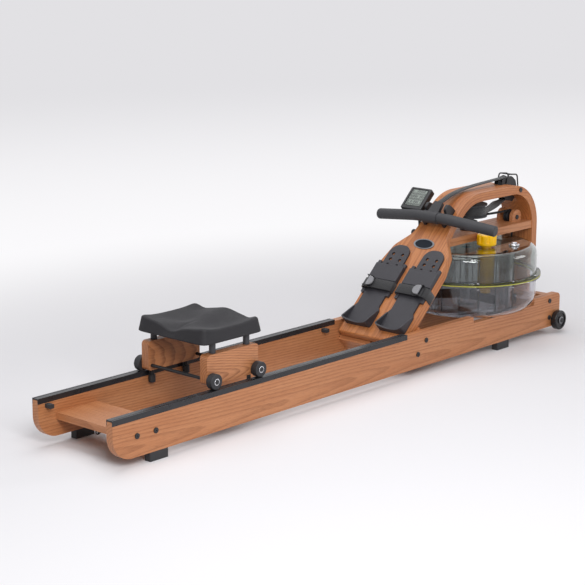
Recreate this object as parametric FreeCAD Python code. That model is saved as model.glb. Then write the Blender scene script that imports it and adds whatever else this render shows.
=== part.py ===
import FreeCAD, Part
import math
import os
from FreeCAD import Placement, Rotation, Vector

# A water rowing machine: two wooden rails carry a sliding seat, a clear water
# tank and a bentwood frame that is footboard, neck and pulley hoop in one.
# X runs from the rear of the rails (-) to the front (+), Y to the rower's left,
# Z up from the floor.  The rower sits on the seat and faces +X.  All sizes in mm.

# ---------------------------------------------------------------- overall sizes
length = 2120.0            # rear end of the rails to the front of the wheels
rail_gap = 276.0           # between the inner faces of the rails
rail_thickness = 24.0
rail_height = 114.5
foot_height = 26.5

gap = 0.3                  # between pieces that face each other without a fit
fit = 0.05                 # radial running clearance of a shaft in its hole
embed = 12.0               # how deep a bolt goes into what it holds

rear = -length / 2
front = length / 2
rail_front = front - 10.0
rail_bottom = foot_height
rail_top = rail_bottom + rail_height
inner_y = rail_gap / 2
outer_y = inner_y + rail_thickness

# ---------------------------------------------------------------- rail fittings
cap_thickness = 2.0        # anodised channel along the top of each rail
cap_crown = 4.0            # how far the channel stands over the wood
cap_flange = 12.0
cap_length = 1248.0
foot_length = 68.0
rear_foot_inset = 135.0    # rail end to the foot's near end
front_foot_inset = 302.0
plank_inset = 63.0         # rear cross plank
plank_length = 150.0
plank_thickness = 20.0
plank_z = rail_bottom + 48.5
bolt_radius = 4.0
bolt_head_radius = 8.0
bolt_head_height = 3.0

cap_top = rail_top + cap_crown
cap_front = rear + cap_length

# ---------------------------------------------------------------- bentwood frame
board_angle = 43.5
board_length = 601.0       # lower end up to where its line meets the hoop's top
board_thickness = 29.0
board_half_width = 130.0
neck_half_width = 62.0
hoop_top = 522.0
hoop_length = 405.6
rear_bend = 175.0          # outer radii of the two bends
front_bend = 145.0
leg_inset = 21.0           # front of the wheels to the outer face of the leg
leg_bottom = 35.0
taper = [(287.0, 130.0, 80.0), (363.0, 112.0, 40.0), (421.0, 68.0, 50.0), (472.0, 62.0, 80.0)]

leg_x = front - leg_inset
leg_inner_x = leg_x - board_thickness
corner_x = leg_x - hoop_length
cos_a = math.cos(math.radians(board_angle))
sin_a = math.sin(math.radians(board_angle))
board_x = corner_x - board_length * cos_a
board_z = hoop_top - board_length * sin_a

# ---------------------------------------------------------------- cross pieces
front_board_thickness = 34.0
front_board_bottom = 35.0
front_board_height = 104.0
block_depth = 58.0
block_start = -15.0        # along the footboard from its lower end
block_end = 88.0
crossbar_bottom = 362.0
crossbar_thickness = 26.0
crossbar_half_width = 60.0

# ---------------------------------------------------------------- tank
tank_inset = 344.0         # front of the wheels to the tank's axis
tank_radius = 236.0
tank_wall = 5.0
tank_corner = 55.0
tank_sink = 16.0           # how deep the tank sits below the top of the rails
pad_thickness = 6.0
pad_half_length = 75.0
flange_radius = 250.0
flange_thickness = 5.0
flange_z = 238.0
gasket_thickness = 3.0
tank_top = 345.0
shoulder = 30.0
chamber_radius = tank_radius - 78.0
chamber_top = 325.0
screw_count = 12
valve_radius = 17.0
valve_bottom = 190.0
impeller_bottom = 133.0
impeller_height = 52.0

tank_x = front - tank_inset
tank_base = rail_top - tank_sink
upper_z = flange_z + flange_thickness + gasket_thickness
crossbar_top = crossbar_bottom + crossbar_thickness

# ---------------------------------------------------------------- drive
shaft_radius = 8.0
bearing_radius = 18.0
bearing_flange = 27.0
drum_radius = 58.0
drum_flange = 64.0
drum_bottom = 435.0
drum_top = hoop_top - board_thickness - 15.0
spool_radius = 20.0
spool_flange = 32.0
spool_height = 16.0
belt_width = 25.0
belt_thickness = 2.4
pulley_radius = 40.0
pulley_width = 28.0
pulley_inset = 128.0       # front of the wheels to the belt pulley's axle
pulley_z = 505.0
cheek_room = 1.0           # between the belt pulley and its bracket
cheek_thickness = 1.6
axle_radius = 5.0
cord_radius = 4.0
cord_pulley_radius = 16.0
cord_pulley_half = 8.0
cord_rim = 6.0             # how far the rims stand over the cord's groove
cord_bend = cord_pulley_radius + cord_radius + gap
ear_inset = 103.0
ear_axle_z = crossbar_top + 15.0
ear_half_length = 26.0
ear_thickness = 13.0
ear_y = 20.0
low_pulley_z = 100.0

pulley_x = front - pulley_inset
ear_x = front - ear_inset
cord_down_x = ear_x + cord_bend
spool_z = ear_axle_z + cord_bend

# ---------------------------------------------------------------- handle
grip_y = 62.0
handle_half = 240.0
bar_radius = 11.0
grip_radius = 18.0
sleeve_radius = 20.0
sleeve_half = 30.0
handle_along = 467.0       # along the neck, and above its face
handle_above = 40.0
handle_sweep = 30.0        # how far the ends lean forward and down
handle_drop = 22.0

# ---------------------------------------------------------------- foot rests
rest_y = 70.0
cover_start = 212.0
cover_length = 63.0
cover_width = 115.0
cover_height = 16.0
slider_width = 78.0
slider_lower_width = 89.0
slider_top = 361.0
slider_thickness = 7.0
cup_start = 33.0
cup_width = 106.0
cup_wall = 5.0
cup_corner = 9.0
cup_height = 27.0
cup_dip = 16.0             # of the cup's rear wall in its middle
strap_start = 172.0
strap_width = 36.0
strap_thickness = 2.4
strap_rise = 12.0          # of the strap over the sliding plate
buckle_y = 103.0
runner_start = 156.0       # the black runners beside the sliding plate
runner_end = 288.0
runner_height = 9.5

# ---------------------------------------------------------------- seat
seat_x = -572.0            # middle of the seat at rest
seat_half_length = 122.0
seat_half_width = inner_y + 1.0
seat_bottom = 272.0
seat_top = 322.0
post_radius = 9.5
post_x = 69.0
post_y = inner_y - 20.0
panel_half_length = 104.0
panel_thickness = 28.0
panel_y = inner_y - 34.0
panel_bottom = 153.0
panel_top = 240.5
seat_wheel_radius = 22.5
seat_wheel_width = 22.0
seat_wheel_x = 91.0
roller_radius = 10.5
roller_x = 69.5
roller_bottom = 111.0
roller_top = 132.0
stop_half = 8.0
stop_height = 12.0
front_stop_x = 129.0
rear_stop_inset = 32.0

seat_axle_z = cap_top + seat_wheel_radius + gap
roller_y = inner_y - roller_radius - gap

# ---------------------------------------------------------------- small parts
monitor_y = 106.0
monitor_width = 86.0
monitor_height = 90.0
monitor_thickness = 22.0
monitor_along = 537.0
monitor_above = 22.0
arm_along = 432.0          # where the arm swings on the neck's edge
arm_radius = 5.0
stud_radius = 4.0
stud_depth = 20.0
arm_boss = 14.0
collar_radius = 12.0
collar_height = 3.0
knob_radius = 33.0
knob_x = tank_x - 26.0
knob_y = -98.0
knob_height = 36.0
knob_lift = 7.0            # of the knob's underside over the tank's top
wheel_radius = 34.0
wheel_width = 23.0
wheel_z = 47.0
wheel_x = front - wheel_radius
badge_along = 383.0


# ---------------------------------------------------------------- drawing helpers
def box(x0, x1, y0, y1, z0, z1):
    """A block between two corners."""
    return Part.makeBox(x1 - x0, y1 - y0, z1 - z0, Vector(x0, y0, z0))


def rod(start, axis, radius, size):
    """A cylinder from a point along an axis."""
    return Part.makeCylinder(radius, size, Vector(*start), Vector(*axis))


def ring(start, axis, outer, inner, size):
    """A tube from a point along an axis."""
    return rod(start, axis, outer, size).cut(rod(start, axis, inner, size))


def rounded_wire(points, radii, closed):
    """Straight runs between points, joined by tangent arcs of the given radii."""
    count = len(points)
    starts = list(points)
    ends = list(points)
    middles = [None] * count
    for i in range(count):
        inside = closed or 0 < i < count - 1
        if not inside or radii[i] <= 0:
            continue
        back = (points[i - 1] - points[i]).normalize()
        ahead = (points[(i + 1) % count] - points[i]).normalize()
        half = back.getAngle(ahead) / 2
        reach = radii[i] / math.tan(half)
        bisector = (back + ahead).normalize()
        starts[i] = points[i] + back * reach
        ends[i] = points[i] + ahead * reach
        middles[i] = points[i] + bisector * (radii[i] / math.sin(half) - radii[i])
    edges = []
    for i in range(count):
        if middles[i] is not None:
            edges.append(Part.Arc(starts[i], middles[i], ends[i]).toShape())
        if i < count - 1 or closed:
            following = starts[(i + 1) % count]
            if ends[i].distanceToPoint(following) > 1e-6:
                edges.append(Part.LineSegment(ends[i], following).toShape())
    return Part.Wire(edges)


def plate(corners, place, thrust):
    """A plate from (u, v, radius) corners; place turns (u, v) into a point."""
    points = [place(u, v) for u, v, _ in corners]
    wire = rounded_wire(points, [radius for _, _, radius in corners], True)
    return Part.Face(wire).extrude(thrust)


def side_plate(corners, y0, y1):
    """A plate drawn in X and Z, between two values of Y."""
    return plate(corners, lambda u, v: Vector(u, y0, v), Vector(0, y1 - y0, 0))


def flat_plate(corners, z0, z1):
    """A plate drawn in X and Y, between two values of Z."""
    return plate(corners, lambda u, v: Vector(u, v, z0), Vector(0, 0, z1 - z0))


def rounded_box(x0, x1, y0, y1, z0, z1, radius):
    """A block with its upright edges rounded."""
    corners = [(x0, y0, radius), (x1, y0, radius), (x1, y1, radius), (x0, y1, radius)]
    return flat_plate(corners, z0, z1)


def turned(profile, x, y):
    """A solid of revolution about an upright axis from (radius, z) points."""
    points = [Vector(x + radius, y, z) for radius, z in profile]
    wire = Part.makePolygon(points + points[:1])
    return Part.Face(wire).revolve(Vector(x, y, 0), Vector(0, 0, 1), 360)


def mirrored(shape):
    """The same shape on the other side of the machine."""
    return shape.mirror(Vector(0, 0, 0), Vector(0, 1, 0))


def pair(shape):
    """A shape and its mirror image."""
    return [shape, mirrored(shape)]


def on_board(shape):
    """Moves a shape from the footboard's own axes (along, Y, above) into place."""
    tilt = Rotation(Vector(0, 1, 0), -board_angle)
    moved = shape.copy()
    moved.Placement = Placement(Vector(board_x, 0, board_z), tilt).multiply(moved.Placement)
    return moved


def board_point(along, y, above):
    """A point given along the footboard, across it and above its face."""
    return Vector(board_x + along * cos_a - above * sin_a, y, board_z + along * sin_a + above * cos_a)


def sweep_round(points, radii, radius):
    """A round bar along straight runs joined by tangent arcs."""
    path = rounded_wire(points, radii, False)
    tangent = path.OrderedEdges[0].tangentAt(path.OrderedEdges[0].FirstParameter)
    circle = Part.Wire(Part.makeCircle(radius, points[0], tangent))
    solid = path.makePipeShell([circle], True, False)
    expected = math.pi * radius ** 2 * path.Length
    print("bar", round(solid.Volume / expected, 4), "of its volume, bends", radii)
    return solid


# ---------------------------------------------------------------- rails
def tank_half_chord(radius, y):
    """Half the length of a circle's chord at a distance from its middle."""
    return math.sqrt(radius ** 2 - y ** 2)


def notch_half_length():
    """The tank's bowl where it passes the top of the rail, and some room."""
    lift = tank_corner - tank_sink
    bowl = tank_radius - tank_corner + math.sqrt(tank_corner ** 2 - lift ** 2)
    return tank_half_chord(bowl, inner_y) + 5.0


def bolt_places():
    """(x, z) of each bolt that goes through a rail into a cross piece."""
    plank = [(rear + plank_inset + share * plank_length, plank_z + plank_thickness / 2)
             for share in (0.16, 0.62)]
    upright = [(leg_inner_x - front_board_thickness + 10.0, front_board_bottom + share * front_board_height)
               for share in (0.24, 0.81)]
    depth = board_thickness + block_depth / 2
    middle = (block_start + block_end) / 2
    block = [board_point(middle + side * 28.5, 0, -depth) for side in (-1, 1)]
    return plank + upright + [(point.x, point.z) for point in block]


def rail():
    """The left rail, notched for the tank, with its bolt and stop holes."""
    notch = notch_half_length()
    floor = tank_base - pad_thickness
    corners = [(rear, rail_bottom, 68.0), (rail_front, rail_bottom, 10.0), (rail_front, rail_top, 18.0),
               (tank_x + notch, rail_top, 3.0), (tank_x + notch, floor, 6.0),
               (tank_x - notch, floor, 6.0), (tank_x - notch, rail_top, 3.0), (rear, rail_top, 4.0)]
    body = side_plate(corners, inner_y, outer_y)
    flange_low = rail_top - cap_flange
    body = body.cut(box(rear - 1, cap_front, inner_y - 1, inner_y + cap_thickness, flange_low, rail_top + 1))
    body = body.cut(box(rear - 1, cap_front, outer_y - cap_thickness, outer_y + 1, flange_low, rail_top + 1))
    for x, z in bolt_places():
        body = body.cut(rod((x, inner_y - 1, z), (0, 1, 0), bolt_radius, rail_thickness + 2))
    return body.cut(rod((wheel_x, inner_y - 1, wheel_z), (0, 1, 0), axle_radius, rail_thickness + 2))


def rail_cap():
    """An upside-down channel over the rail, with a groove along its outer edge."""
    body = box(rear, cap_front, inner_y, outer_y, rail_top - cap_flange, cap_top)
    body = body.cut(box(rear - 1, cap_front + 1, inner_y + cap_thickness, outer_y - cap_thickness,
                        rail_top - cap_flange - 1, rail_top))
    groove = box(rear - 1, cap_front + 1, outer_y - 7.0, outer_y - 5.0, cap_top - 1.0, cap_top + 1)
    return body.cut(groove)


def rubber_pads():
    """Four feet under the rails and two pads under the tank."""
    feet = []
    for x in (rear + rear_foot_inset, rail_front - front_foot_inset - foot_length):
        corners = [(x, inner_y, 3.0), (x + foot_length, inner_y, 3.0),
                   (x + foot_length, outer_y, 3.0), (x, outer_y, 3.0)]
        feet += pair(flat_plate(corners, 0, foot_height))
    seat = box(tank_x - pad_half_length, tank_x + pad_half_length, inner_y, outer_y,
               tank_base - pad_thickness, tank_base)
    return feet + pair(seat)


def stop_blocks():
    """Rubber stops on the inner faces of the rails, in the way of the guide rollers."""
    blocks = []
    low = (roller_bottom + roller_top - stop_height) / 2
    high = low + stop_height
    for x in (front_stop_x, rear + rear_stop_inset):
        corners = [(x - stop_half, low, 2.0), (x + stop_half, low, 2.0),
                   (x + stop_half, high, 2.0), (x - stop_half, high, 2.0)]
        blocks += pair(side_plate(corners, inner_y - 2 * roller_radius, inner_y))
    return blocks


def rear_cross_plank():
    """The flat board that ties the rails together at the back."""
    start = rear + plank_inset
    body = box(start, start + plank_length, -inner_y, inner_y, plank_z, plank_z + plank_thickness)
    for x, z in bolt_places()[:2]:
        for side in (-1, 1):
            body = body.cut(rod((x, side * inner_y, z), (0, -side, 0), bolt_radius, embed))
    return body.cut(rod((anchor_x(), 0, plank_z - 1), (0, 0, 1), 2.0, plank_thickness / 2 + 1))


def front_cross_board():
    """The upright board between the rails that the hoop's leg is bolted to."""
    back = leg_inner_x - front_board_thickness
    top = front_board_bottom + front_board_height
    body = box(back, leg_inner_x, -inner_y, inner_y, front_board_bottom, top)
    body = body.cut(box(back - 1, cord_down_x + 10.0, -14.0, 14.0, front_board_bottom - 1, top + 1))
    for x, z in bolt_places()[2:4]:
        for side in (-1, 1):
            body = body.cut(rod((x, side * inner_y, z), (0, -side, 0), bolt_radius, embed))
    return body


def footboard_block():
    """The slanted cross block under the footboard, slotted for the bungee cord."""
    under = -board_thickness
    block = box(block_start, block_end, -inner_y, inner_y, under - block_depth, under)
    block = on_board(block)
    block = block.cut(box(board_x - 100, board_x + 300, -12.0, 12.0, 0, low_pulley_z - cord_bend + 14.0))
    for x, z in bolt_places()[4:]:
        for side in (-1, 1):
            block = block.cut(rod((x, side * inner_y, z), (0, -side, 0), bolt_radius, embed))
    return block


def bolts():
    """Round-headed bolts through the rails, the tank's flange screws and wheel axles."""
    made = []
    for x, z in bolt_places():
        head = rod((x, outer_y, z), (0, 1, 0), bolt_head_radius, bolt_head_height)
        socket = rod((x, outer_y + bolt_head_height - 1.5, z), (0, 1, 0), 3.0, 2)
        shank = rod((x, outer_y, z), (0, -1, 0), bolt_radius, rail_thickness + embed)
        made += pair(head.fuse(shank).cut(socket).removeSplitter())
    for turn in range(screw_count):
        angle = math.radians((turn + 0.5) * 360 / screw_count)
        x = tank_x + (flange_radius - 7.0) * math.cos(angle)
        y = (flange_radius - 7.0) * math.sin(angle)
        stack = 2 * flange_thickness + gasket_thickness
        shank = rod((x, y, flange_z - 3.0), (0, 0, 1), 2.0, stack + 6.0)
        for z in (flange_z - 3.0, flange_z + stack):
            shank = shank.fuse(rod((x, y, z), (0, 0, 1), 4.5, 3.0))
        made.append(shank)
    axle = rod((wheel_x, inner_y, wheel_z), (0, 1, 0), axle_radius, outer_y - inner_y + wheel_width + 4.0)
    head = rod((wheel_x, outer_y + wheel_width + 4.0, wheel_z), (0, 1, 0), bolt_head_radius, bolt_head_height)
    made += pair(axle.fuse(head))
    return made


# ---------------------------------------------------------------- bentwood frame
def bentwood_outline():
    """Side view of the footboard, neck, hoop and leg as one bent board."""
    def inner(x, z, first, second):
        scale = board_thickness / (1 + first.dot(second))
        shift = (first + second) * scale
        return x + shift.x, z + shift.z

    below_board = Vector(sin_a, 0, -cos_a)
    below_top = Vector(0, 0, -1)
    behind_leg = Vector(-1, 0, 0)
    rear_in = inner(corner_x, hoop_top, below_board, below_top)
    front_in = inner(leg_x, hoop_top, below_top, behind_leg)
    low = board_point(0, 0, -board_thickness)
    return [(board_x, board_z, 6.0), (corner_x, hoop_top, rear_bend), (leg_x, hoop_top, front_bend),
            (leg_x, leg_bottom, 2.0), (leg_inner_x, leg_bottom, 2.0),
            (front_in[0], front_in[1], front_bend - board_thickness),
            (rear_in[0], rear_in[1], rear_bend - board_thickness), (low.x, low.z, 6.0)]


def bentwood_frame():
    """The laminated board: wide at the feet, narrow from the neck to the leg."""
    width = board_half_width
    body = side_plate(bentwood_outline(), -width, width)
    far = length
    side = [(-60.0, width + 10, 0.0), (-60.0, 118.0, 0.0), (0.0, width, 22.0)] + taper
    side += [(far, neck_half_width, 0.0), (far, width + 10, 0.0)]
    waste = on_board(flat_plate(side, -far, far))
    body = body.cut(waste).cut(mirrored(waste))
    slot = box(pulley_x - pulley_radius - 13.0, pulley_x + pulley_radius + 8.0,
               -pulley_width / 2 - 3.0, pulley_width / 2 + 3.0, crossbar_top + 60.0, hoop_top + 20.0)
    body = body.cut(slot)
    body = body.cut(rod((pulley_x, -width, pulley_z), (0, 1, 0), axle_radius, 2 * width))
    at = arm_pivot()
    body = body.cut(rod((at.x, at.y - stud_depth, at.z), (0, 1, 0), stud_radius, stud_depth + 1))
    return body.cut(rod((at.x, at.y, at.z), (0, 1, 0), collar_radius + 2.0, width))


def underside_x(z):
    """Where the board's underside is at a height."""
    return board_x + ((z - board_z) + board_thickness / cos_a) / (sin_a / cos_a)


def crossbar():
    """The level bar from the neck to the leg, over the tank."""
    corners = [(underside_x(crossbar_bottom), crossbar_bottom, 0), (leg_inner_x, crossbar_bottom, 0),
               (leg_inner_x, crossbar_top, 0), (underside_x(crossbar_top), crossbar_top, 0)]
    body = side_plate(corners, -crossbar_half_width, crossbar_half_width)
    body = body.cut(rod((tank_x, 0, crossbar_bottom - 1), (0, 0, 1), bearing_radius, crossbar_thickness + 2))
    reach = cord_pulley_radius + cord_rim + 3.0
    side = cord_pulley_half + 2.0
    body = body.cut(rounded_box(ear_x - reach, ear_x + reach + 4.0, -side, side,
                                crossbar_bottom - 1, crossbar_top + 1, 4.0))
    return body.cut(bentwood_frame())


def pulley_ears():
    """Two wooden ears with round tops that hold the bungee pulley."""
    corners = [(ear_x - ear_half_length, crossbar_top, 0), (ear_x + ear_half_length, crossbar_top, 0),
               (ear_x + ear_half_length, ear_axle_z + ear_half_length, ear_half_length - 1.0),
               (ear_x - ear_half_length, ear_axle_z + ear_half_length, ear_half_length - 1.0)]
    ear = side_plate(corners, ear_y, ear_y + ear_thickness)
    ear = ear.cut(rod((ear_x, 0, ear_axle_z), (0, 1, 0), axle_radius, 2 * ear_y))
    return pair(ear)


# ---------------------------------------------------------------- tank
def bowl_shell(outline_points, inner_points):
    """A turned shell from its outer and inner (radius, z, bend) outlines."""
    outline = outline_points + inner_points[::-1]
    points = [Vector(tank_x + radius, 0, z) for radius, z, _ in outline]
    wire = rounded_wire(points, [bend for _, _, bend in outline], True)
    return Part.Face(wire).revolve(Vector(tank_x, 0, 0), Vector(0, 0, 1), 360)


def tank_lower_bowl():
    """The lower half of the tank, up to its flange."""
    hub = 30.0
    inside = tank_radius - tank_wall
    outer = [(hub, tank_base, 0), (tank_radius, tank_base, tank_corner), (tank_radius, flange_z, 2.0),
             (flange_radius, flange_z, 1.0), (flange_radius, flange_z + flange_thickness, 1.0)]
    inner = [(hub, tank_base + tank_wall, 0), (inside, tank_base + tank_wall, tank_corner - tank_wall),
             (inside, flange_z + flange_thickness, 0)]
    shell = bowl_shell(outer, inner)
    foot = rod((tank_x, 0, tank_base), (0, 0, 1), hub, 4 * tank_wall)
    foot = foot.cut(rod((tank_x, 0, tank_base + tank_wall), (0, 0, 1), shaft_radius + fit, 4 * tank_wall))
    return drill_flange(shell.fuse(foot).removeSplitter())


def tank_upper_bowl():
    """The upper half of the tank, with holes for the shaft and the valve."""
    inside = tank_radius - tank_wall
    hole = shaft_radius + fit
    flange_top = upper_z + flange_thickness
    outer = [(hole, tank_top, 0), (tank_radius, tank_top, shoulder), (tank_radius, flange_top, 2.0),
             (flange_radius, flange_top, 1.0), (flange_radius, upper_z, 1.0)]
    inner = [(hole, tank_top - tank_wall, 0), (inside, tank_top - tank_wall, shoulder - tank_wall),
             (inside, upper_z, 0)]
    shell = bowl_shell(outer, inner)
    shell = shell.cut(rod((knob_x, knob_y, tank_top - 2 * tank_wall), (0, 0, 1), valve_radius, 4 * tank_wall))
    return drill_flange(shell)


def drill_flange(shell):
    """Screw holes around the flange."""
    for turn in range(screw_count):
        angle = math.radians((turn + 0.5) * 360 / screw_count)
        x = tank_x + (flange_radius - 7.0) * math.cos(angle)
        y = (flange_radius - 7.0) * math.sin(angle)
        shell = shell.cut(rod((x, y, flange_z - 1), (0, 0, 1), 2.0, 3 * flange_thickness))
    return shell


def tank_gasket():
    """The coloured ring that seals the two halves."""
    z = flange_z + flange_thickness
    flat = ring((tank_x, 0, z), (0, 0, 1), flange_radius, tank_radius - tank_wall, gasket_thickness)
    return drill_flange(flat)


def inner_chamber():
    """The ring wall that parts the spare water from the water being stirred."""
    base = tank_base + tank_wall
    return ring((tank_x, 0, base), (0, 0, 1), chamber_radius, chamber_radius - 4.0, chamber_top - base)


def valve_tube():
    """The tube under the level knob."""
    size = tank_top + knob_lift - valve_bottom
    return ring((knob_x, knob_y, valve_bottom), (0, 0, 1), valve_radius, valve_radius - 3.0, size)


def level_knob():
    """A round knob with finger scallops that sets the amount of water."""
    z = tank_top + knob_lift
    body = rod((knob_x, knob_y, z), (0, 0, 1), knob_radius, knob_height)
    body = body.makeFillet(4.0, [edge for edge in body.Edges if edge.Curve.TypeId == "Part::GeomCircle"])
    for turn in range(8):
        angle = math.radians(turn * 45)
        reach = knob_radius + 6.0
        x = knob_x + reach * math.cos(angle)
        y = knob_y + reach * math.sin(angle)
        body = body.cut(rod((x, y, z + 10.0), (0, 0, 1), 9.0, knob_height))
    return body


def shaft_bearings():
    """A bearing in the crossbar, and one under the hoop for the top of the shaft."""
    bore = shaft_radius + fit
    low = ring((tank_x, 0, crossbar_bottom), (0, 0, 1), bearing_radius, bore, crossbar_thickness)
    low = low.fuse(ring((tank_x, 0, crossbar_top), (0, 0, 1), bearing_flange, bore, 4.0))
    under = hoop_top - board_thickness
    high = ring((tank_x, 0, drum_top + 1.0), (0, 0, 1), bearing_flange, bore, under - drum_top - 1.0)
    return [low, high.cut(bentwood_frame())]


# ---------------------------------------------------------------- drive
def impeller_shaft():
    """The upright shaft from the top bearing to the foot of the tank."""
    z = tank_base + tank_wall + 1.0
    return rod((tank_x, 0, z), (0, 0, 1), shaft_radius, hoop_top - board_thickness - 1.0 - z)


def impeller():
    """Three flat blades on a hub, low in the tank."""
    z = impeller_bottom
    low = z + 4 * tank_wall
    hub = ring((tank_x, 0, low), (0, 0, 1), 20.0, shaft_radius, z + impeller_height + 20.0 - low)
    reach = chamber_radius - 18.0
    for turn in range(3):
        blade = box(14.0, reach, -2.0, 2.0, low, z + impeller_height)
        blade.rotate(Vector(0, 0, 0), Vector(0, 0, 1), turn * 120 + 20)
        blade.translate(Vector(tank_x, 0, 0))
        hub = hub.fuse(blade)
    return hub.removeSplitter()


def belt_drum():
    """The belt's drum with the bungee's smaller spool below it."""
    half = spool_height / 2
    profile = [(shaft_radius + fit, spool_z - half), (spool_flange, spool_z - half),
               (spool_flange, spool_z - half + 3.0), (spool_radius, spool_z - half + 3.0),
               (spool_radius, spool_z + half - 3.0), (spool_flange, spool_z + half - 3.0),
               (spool_flange, drum_bottom), (drum_flange, drum_bottom), (drum_flange, drum_bottom + 4.0),
               (drum_radius, drum_bottom + 4.0), (drum_radius, drum_top - 4.0),
               (drum_flange, drum_top - 4.0), (drum_flange, drum_top), (shaft_radius + fit, drum_top)]
    return turned(profile, tank_x, 0)


def belt_pulley():
    """The flanged pulley that turns the belt down towards the drum."""
    half = pulley_width / 2
    tread = pulley_radius - belt_thickness - gap
    rim = ring((pulley_x, -half, pulley_z), (0, 1, 0), tread, axle_radius + fit, pulley_width)
    for y in (-half, half - 1.2):
        rim = rim.fuse(ring((pulley_x, y, pulley_z), (0, 1, 0), pulley_radius + 2.0, axle_radius + fit, 1.2))
    return rim.removeSplitter()


def cord_pulley(x, z):
    """A grooved pulley for the bungee cord."""
    half = cord_pulley_half
    rim = cord_pulley_radius + cord_rim
    wheel = ring((x, -half, z), (0, 1, 0), rim, axle_radius + fit, 2 * half)
    groove = ring((x, -cord_radius - 1.0, z), (0, 1, 0), rim + 2.0, cord_pulley_radius, 2 * cord_radius + 2.0)
    return wheel.cut(groove)


def pulley_axles():
    """Headed pins through the hoop, the ears and the lower pulley bracket."""
    made = []
    places = [(pulley_x, pulley_z, neck_half_width), (ear_x, ear_axle_z, ear_y + ear_thickness),
              (ear_x, low_pulley_z, low_bracket_y())]
    for x, z, y in places:
        pin = rod((x, -y, z), (0, 1, 0), axle_radius, 2 * y)
        for side in (-1, 1):
            pin = pin.fuse(rod((x, side * y, z), (0, side, 0), bolt_head_radius, bolt_head_height))
        made.append(pin)
    return made


def low_bracket_y():
    """Outer face of the lower pulley bracket's cheeks."""
    return 8.0 + 1.0 + 3.0


def pulley_brackets():
    """Cheeks each side of the belt pulley, and the bracket of the lower cord pulley."""
    y = pulley_width / 2 + cheek_room
    under = hoop_top - board_thickness
    corners = [(pulley_x - 44.0, hoop_top + 17.0, 6.0), (pulley_x - 50.0, under - 8.0, 5.0),
               (pulley_x - 18.0, under - 24.0, 10.0), (pulley_x + 18.0, under - 36.0, 10.0),
               (pulley_x + 34.0, under - 22.0, 8.0), (pulley_x + 44.0, hoop_top - 24.0, 5.0),
               (pulley_x + 34.0, hoop_top + 8.0, 14.0), (pulley_x + 8.0, hoop_top + 26.0, 14.0)]
    cheek = side_plate(corners, y, y + cheek_thickness)
    cheek = cheek.cut(rod((pulley_x, 0, pulley_z), (0, 1, 0), axle_radius, 2 * y))
    outer = low_bracket_y()
    back = leg_inner_x - front_board_thickness
    low = [(back, low_pulley_z - 24.0, 0), (back, low_pulley_z + 24.0, 0), (ear_x, low_pulley_z + 14.0, 10.0),
           (ear_x - 14.0, low_pulley_z, 12.0), (ear_x, low_pulley_z - 14.0, 10.0)]
    ear = side_plate(low, outer - 3.0, outer)
    ear = ear.cut(rod((ear_x, 0, low_pulley_z), (0, 1, 0), axle_radius, 2 * outer))
    tab = box(back - 3.0, back, outer, outer + 22.0, low_pulley_z - 24.0, low_pulley_z + 24.0)
    return pair(cheek) + pair(ear.fuse(box(back - 3.0, back, outer - 3.0, outer, low_pulley_z - 24.0,
                                           low_pulley_z + 24.0)).fuse(tab).removeSplitter())


def belt_guard():
    """The bent wire that keeps the belt on its pulley."""
    radius = 2.5
    y = pulley_width / 2 + cheek_room + cheek_thickness + radius + gap
    points = [Vector(pulley_x - 22.0, y, hoop_top + 1.0), Vector(pulley_x - 14.0, y, hoop_top + 34.0),
              Vector(pulley_x + 38.0, y, hoop_top + 28.0), Vector(pulley_x + 46.0, y, hoop_top - 22.0)]
    side = sweep_round(points, [0, 9.0, 12.0, 0], radius)
    bridge = rod((pulley_x + 6.0, -y, hoop_top + 31.3), (0, 1, 0), radius, 2 * y)
    return side.fuse(mirrored(side)).fuse(bridge)


def band(points, radii, y0, y1, thickness):
    """A flat strap of even thickness that follows a path drawn in X and Z."""
    path = rounded_wire([Vector(x, y0, z) for x, z in points], radii, False)
    first = path.OrderedEdges[0]
    along = first.tangentAt(first.FirstParameter)
    up = Vector(-along.z, 0, along.x) * thickness
    start = Vector(points[0][0], y0, points[0][1])
    corners = [start, start + Vector(0, y1 - y0, 0), start + Vector(0, y1 - y0, 0) + up, start + up]
    section = Part.makePolygon(corners + corners[:1])
    return path.makePipeShell([section], True, False)


def pull_strap():
    """The flat belt from the handle's yoke up the neck to the top of the pulley."""
    half = belt_width / 2
    start = board_point(yoke_end, 0, yoke_above)
    top = pulley_z + pulley_radius - belt_thickness
    bend = (corner_x + 20.0, hoop_top + 9.0)
    points = [(start.x, start.z), bend, (pulley_x - 1.0, top)]
    return band(points, [0, 150.0, 0], -half, half, belt_thickness)


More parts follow.
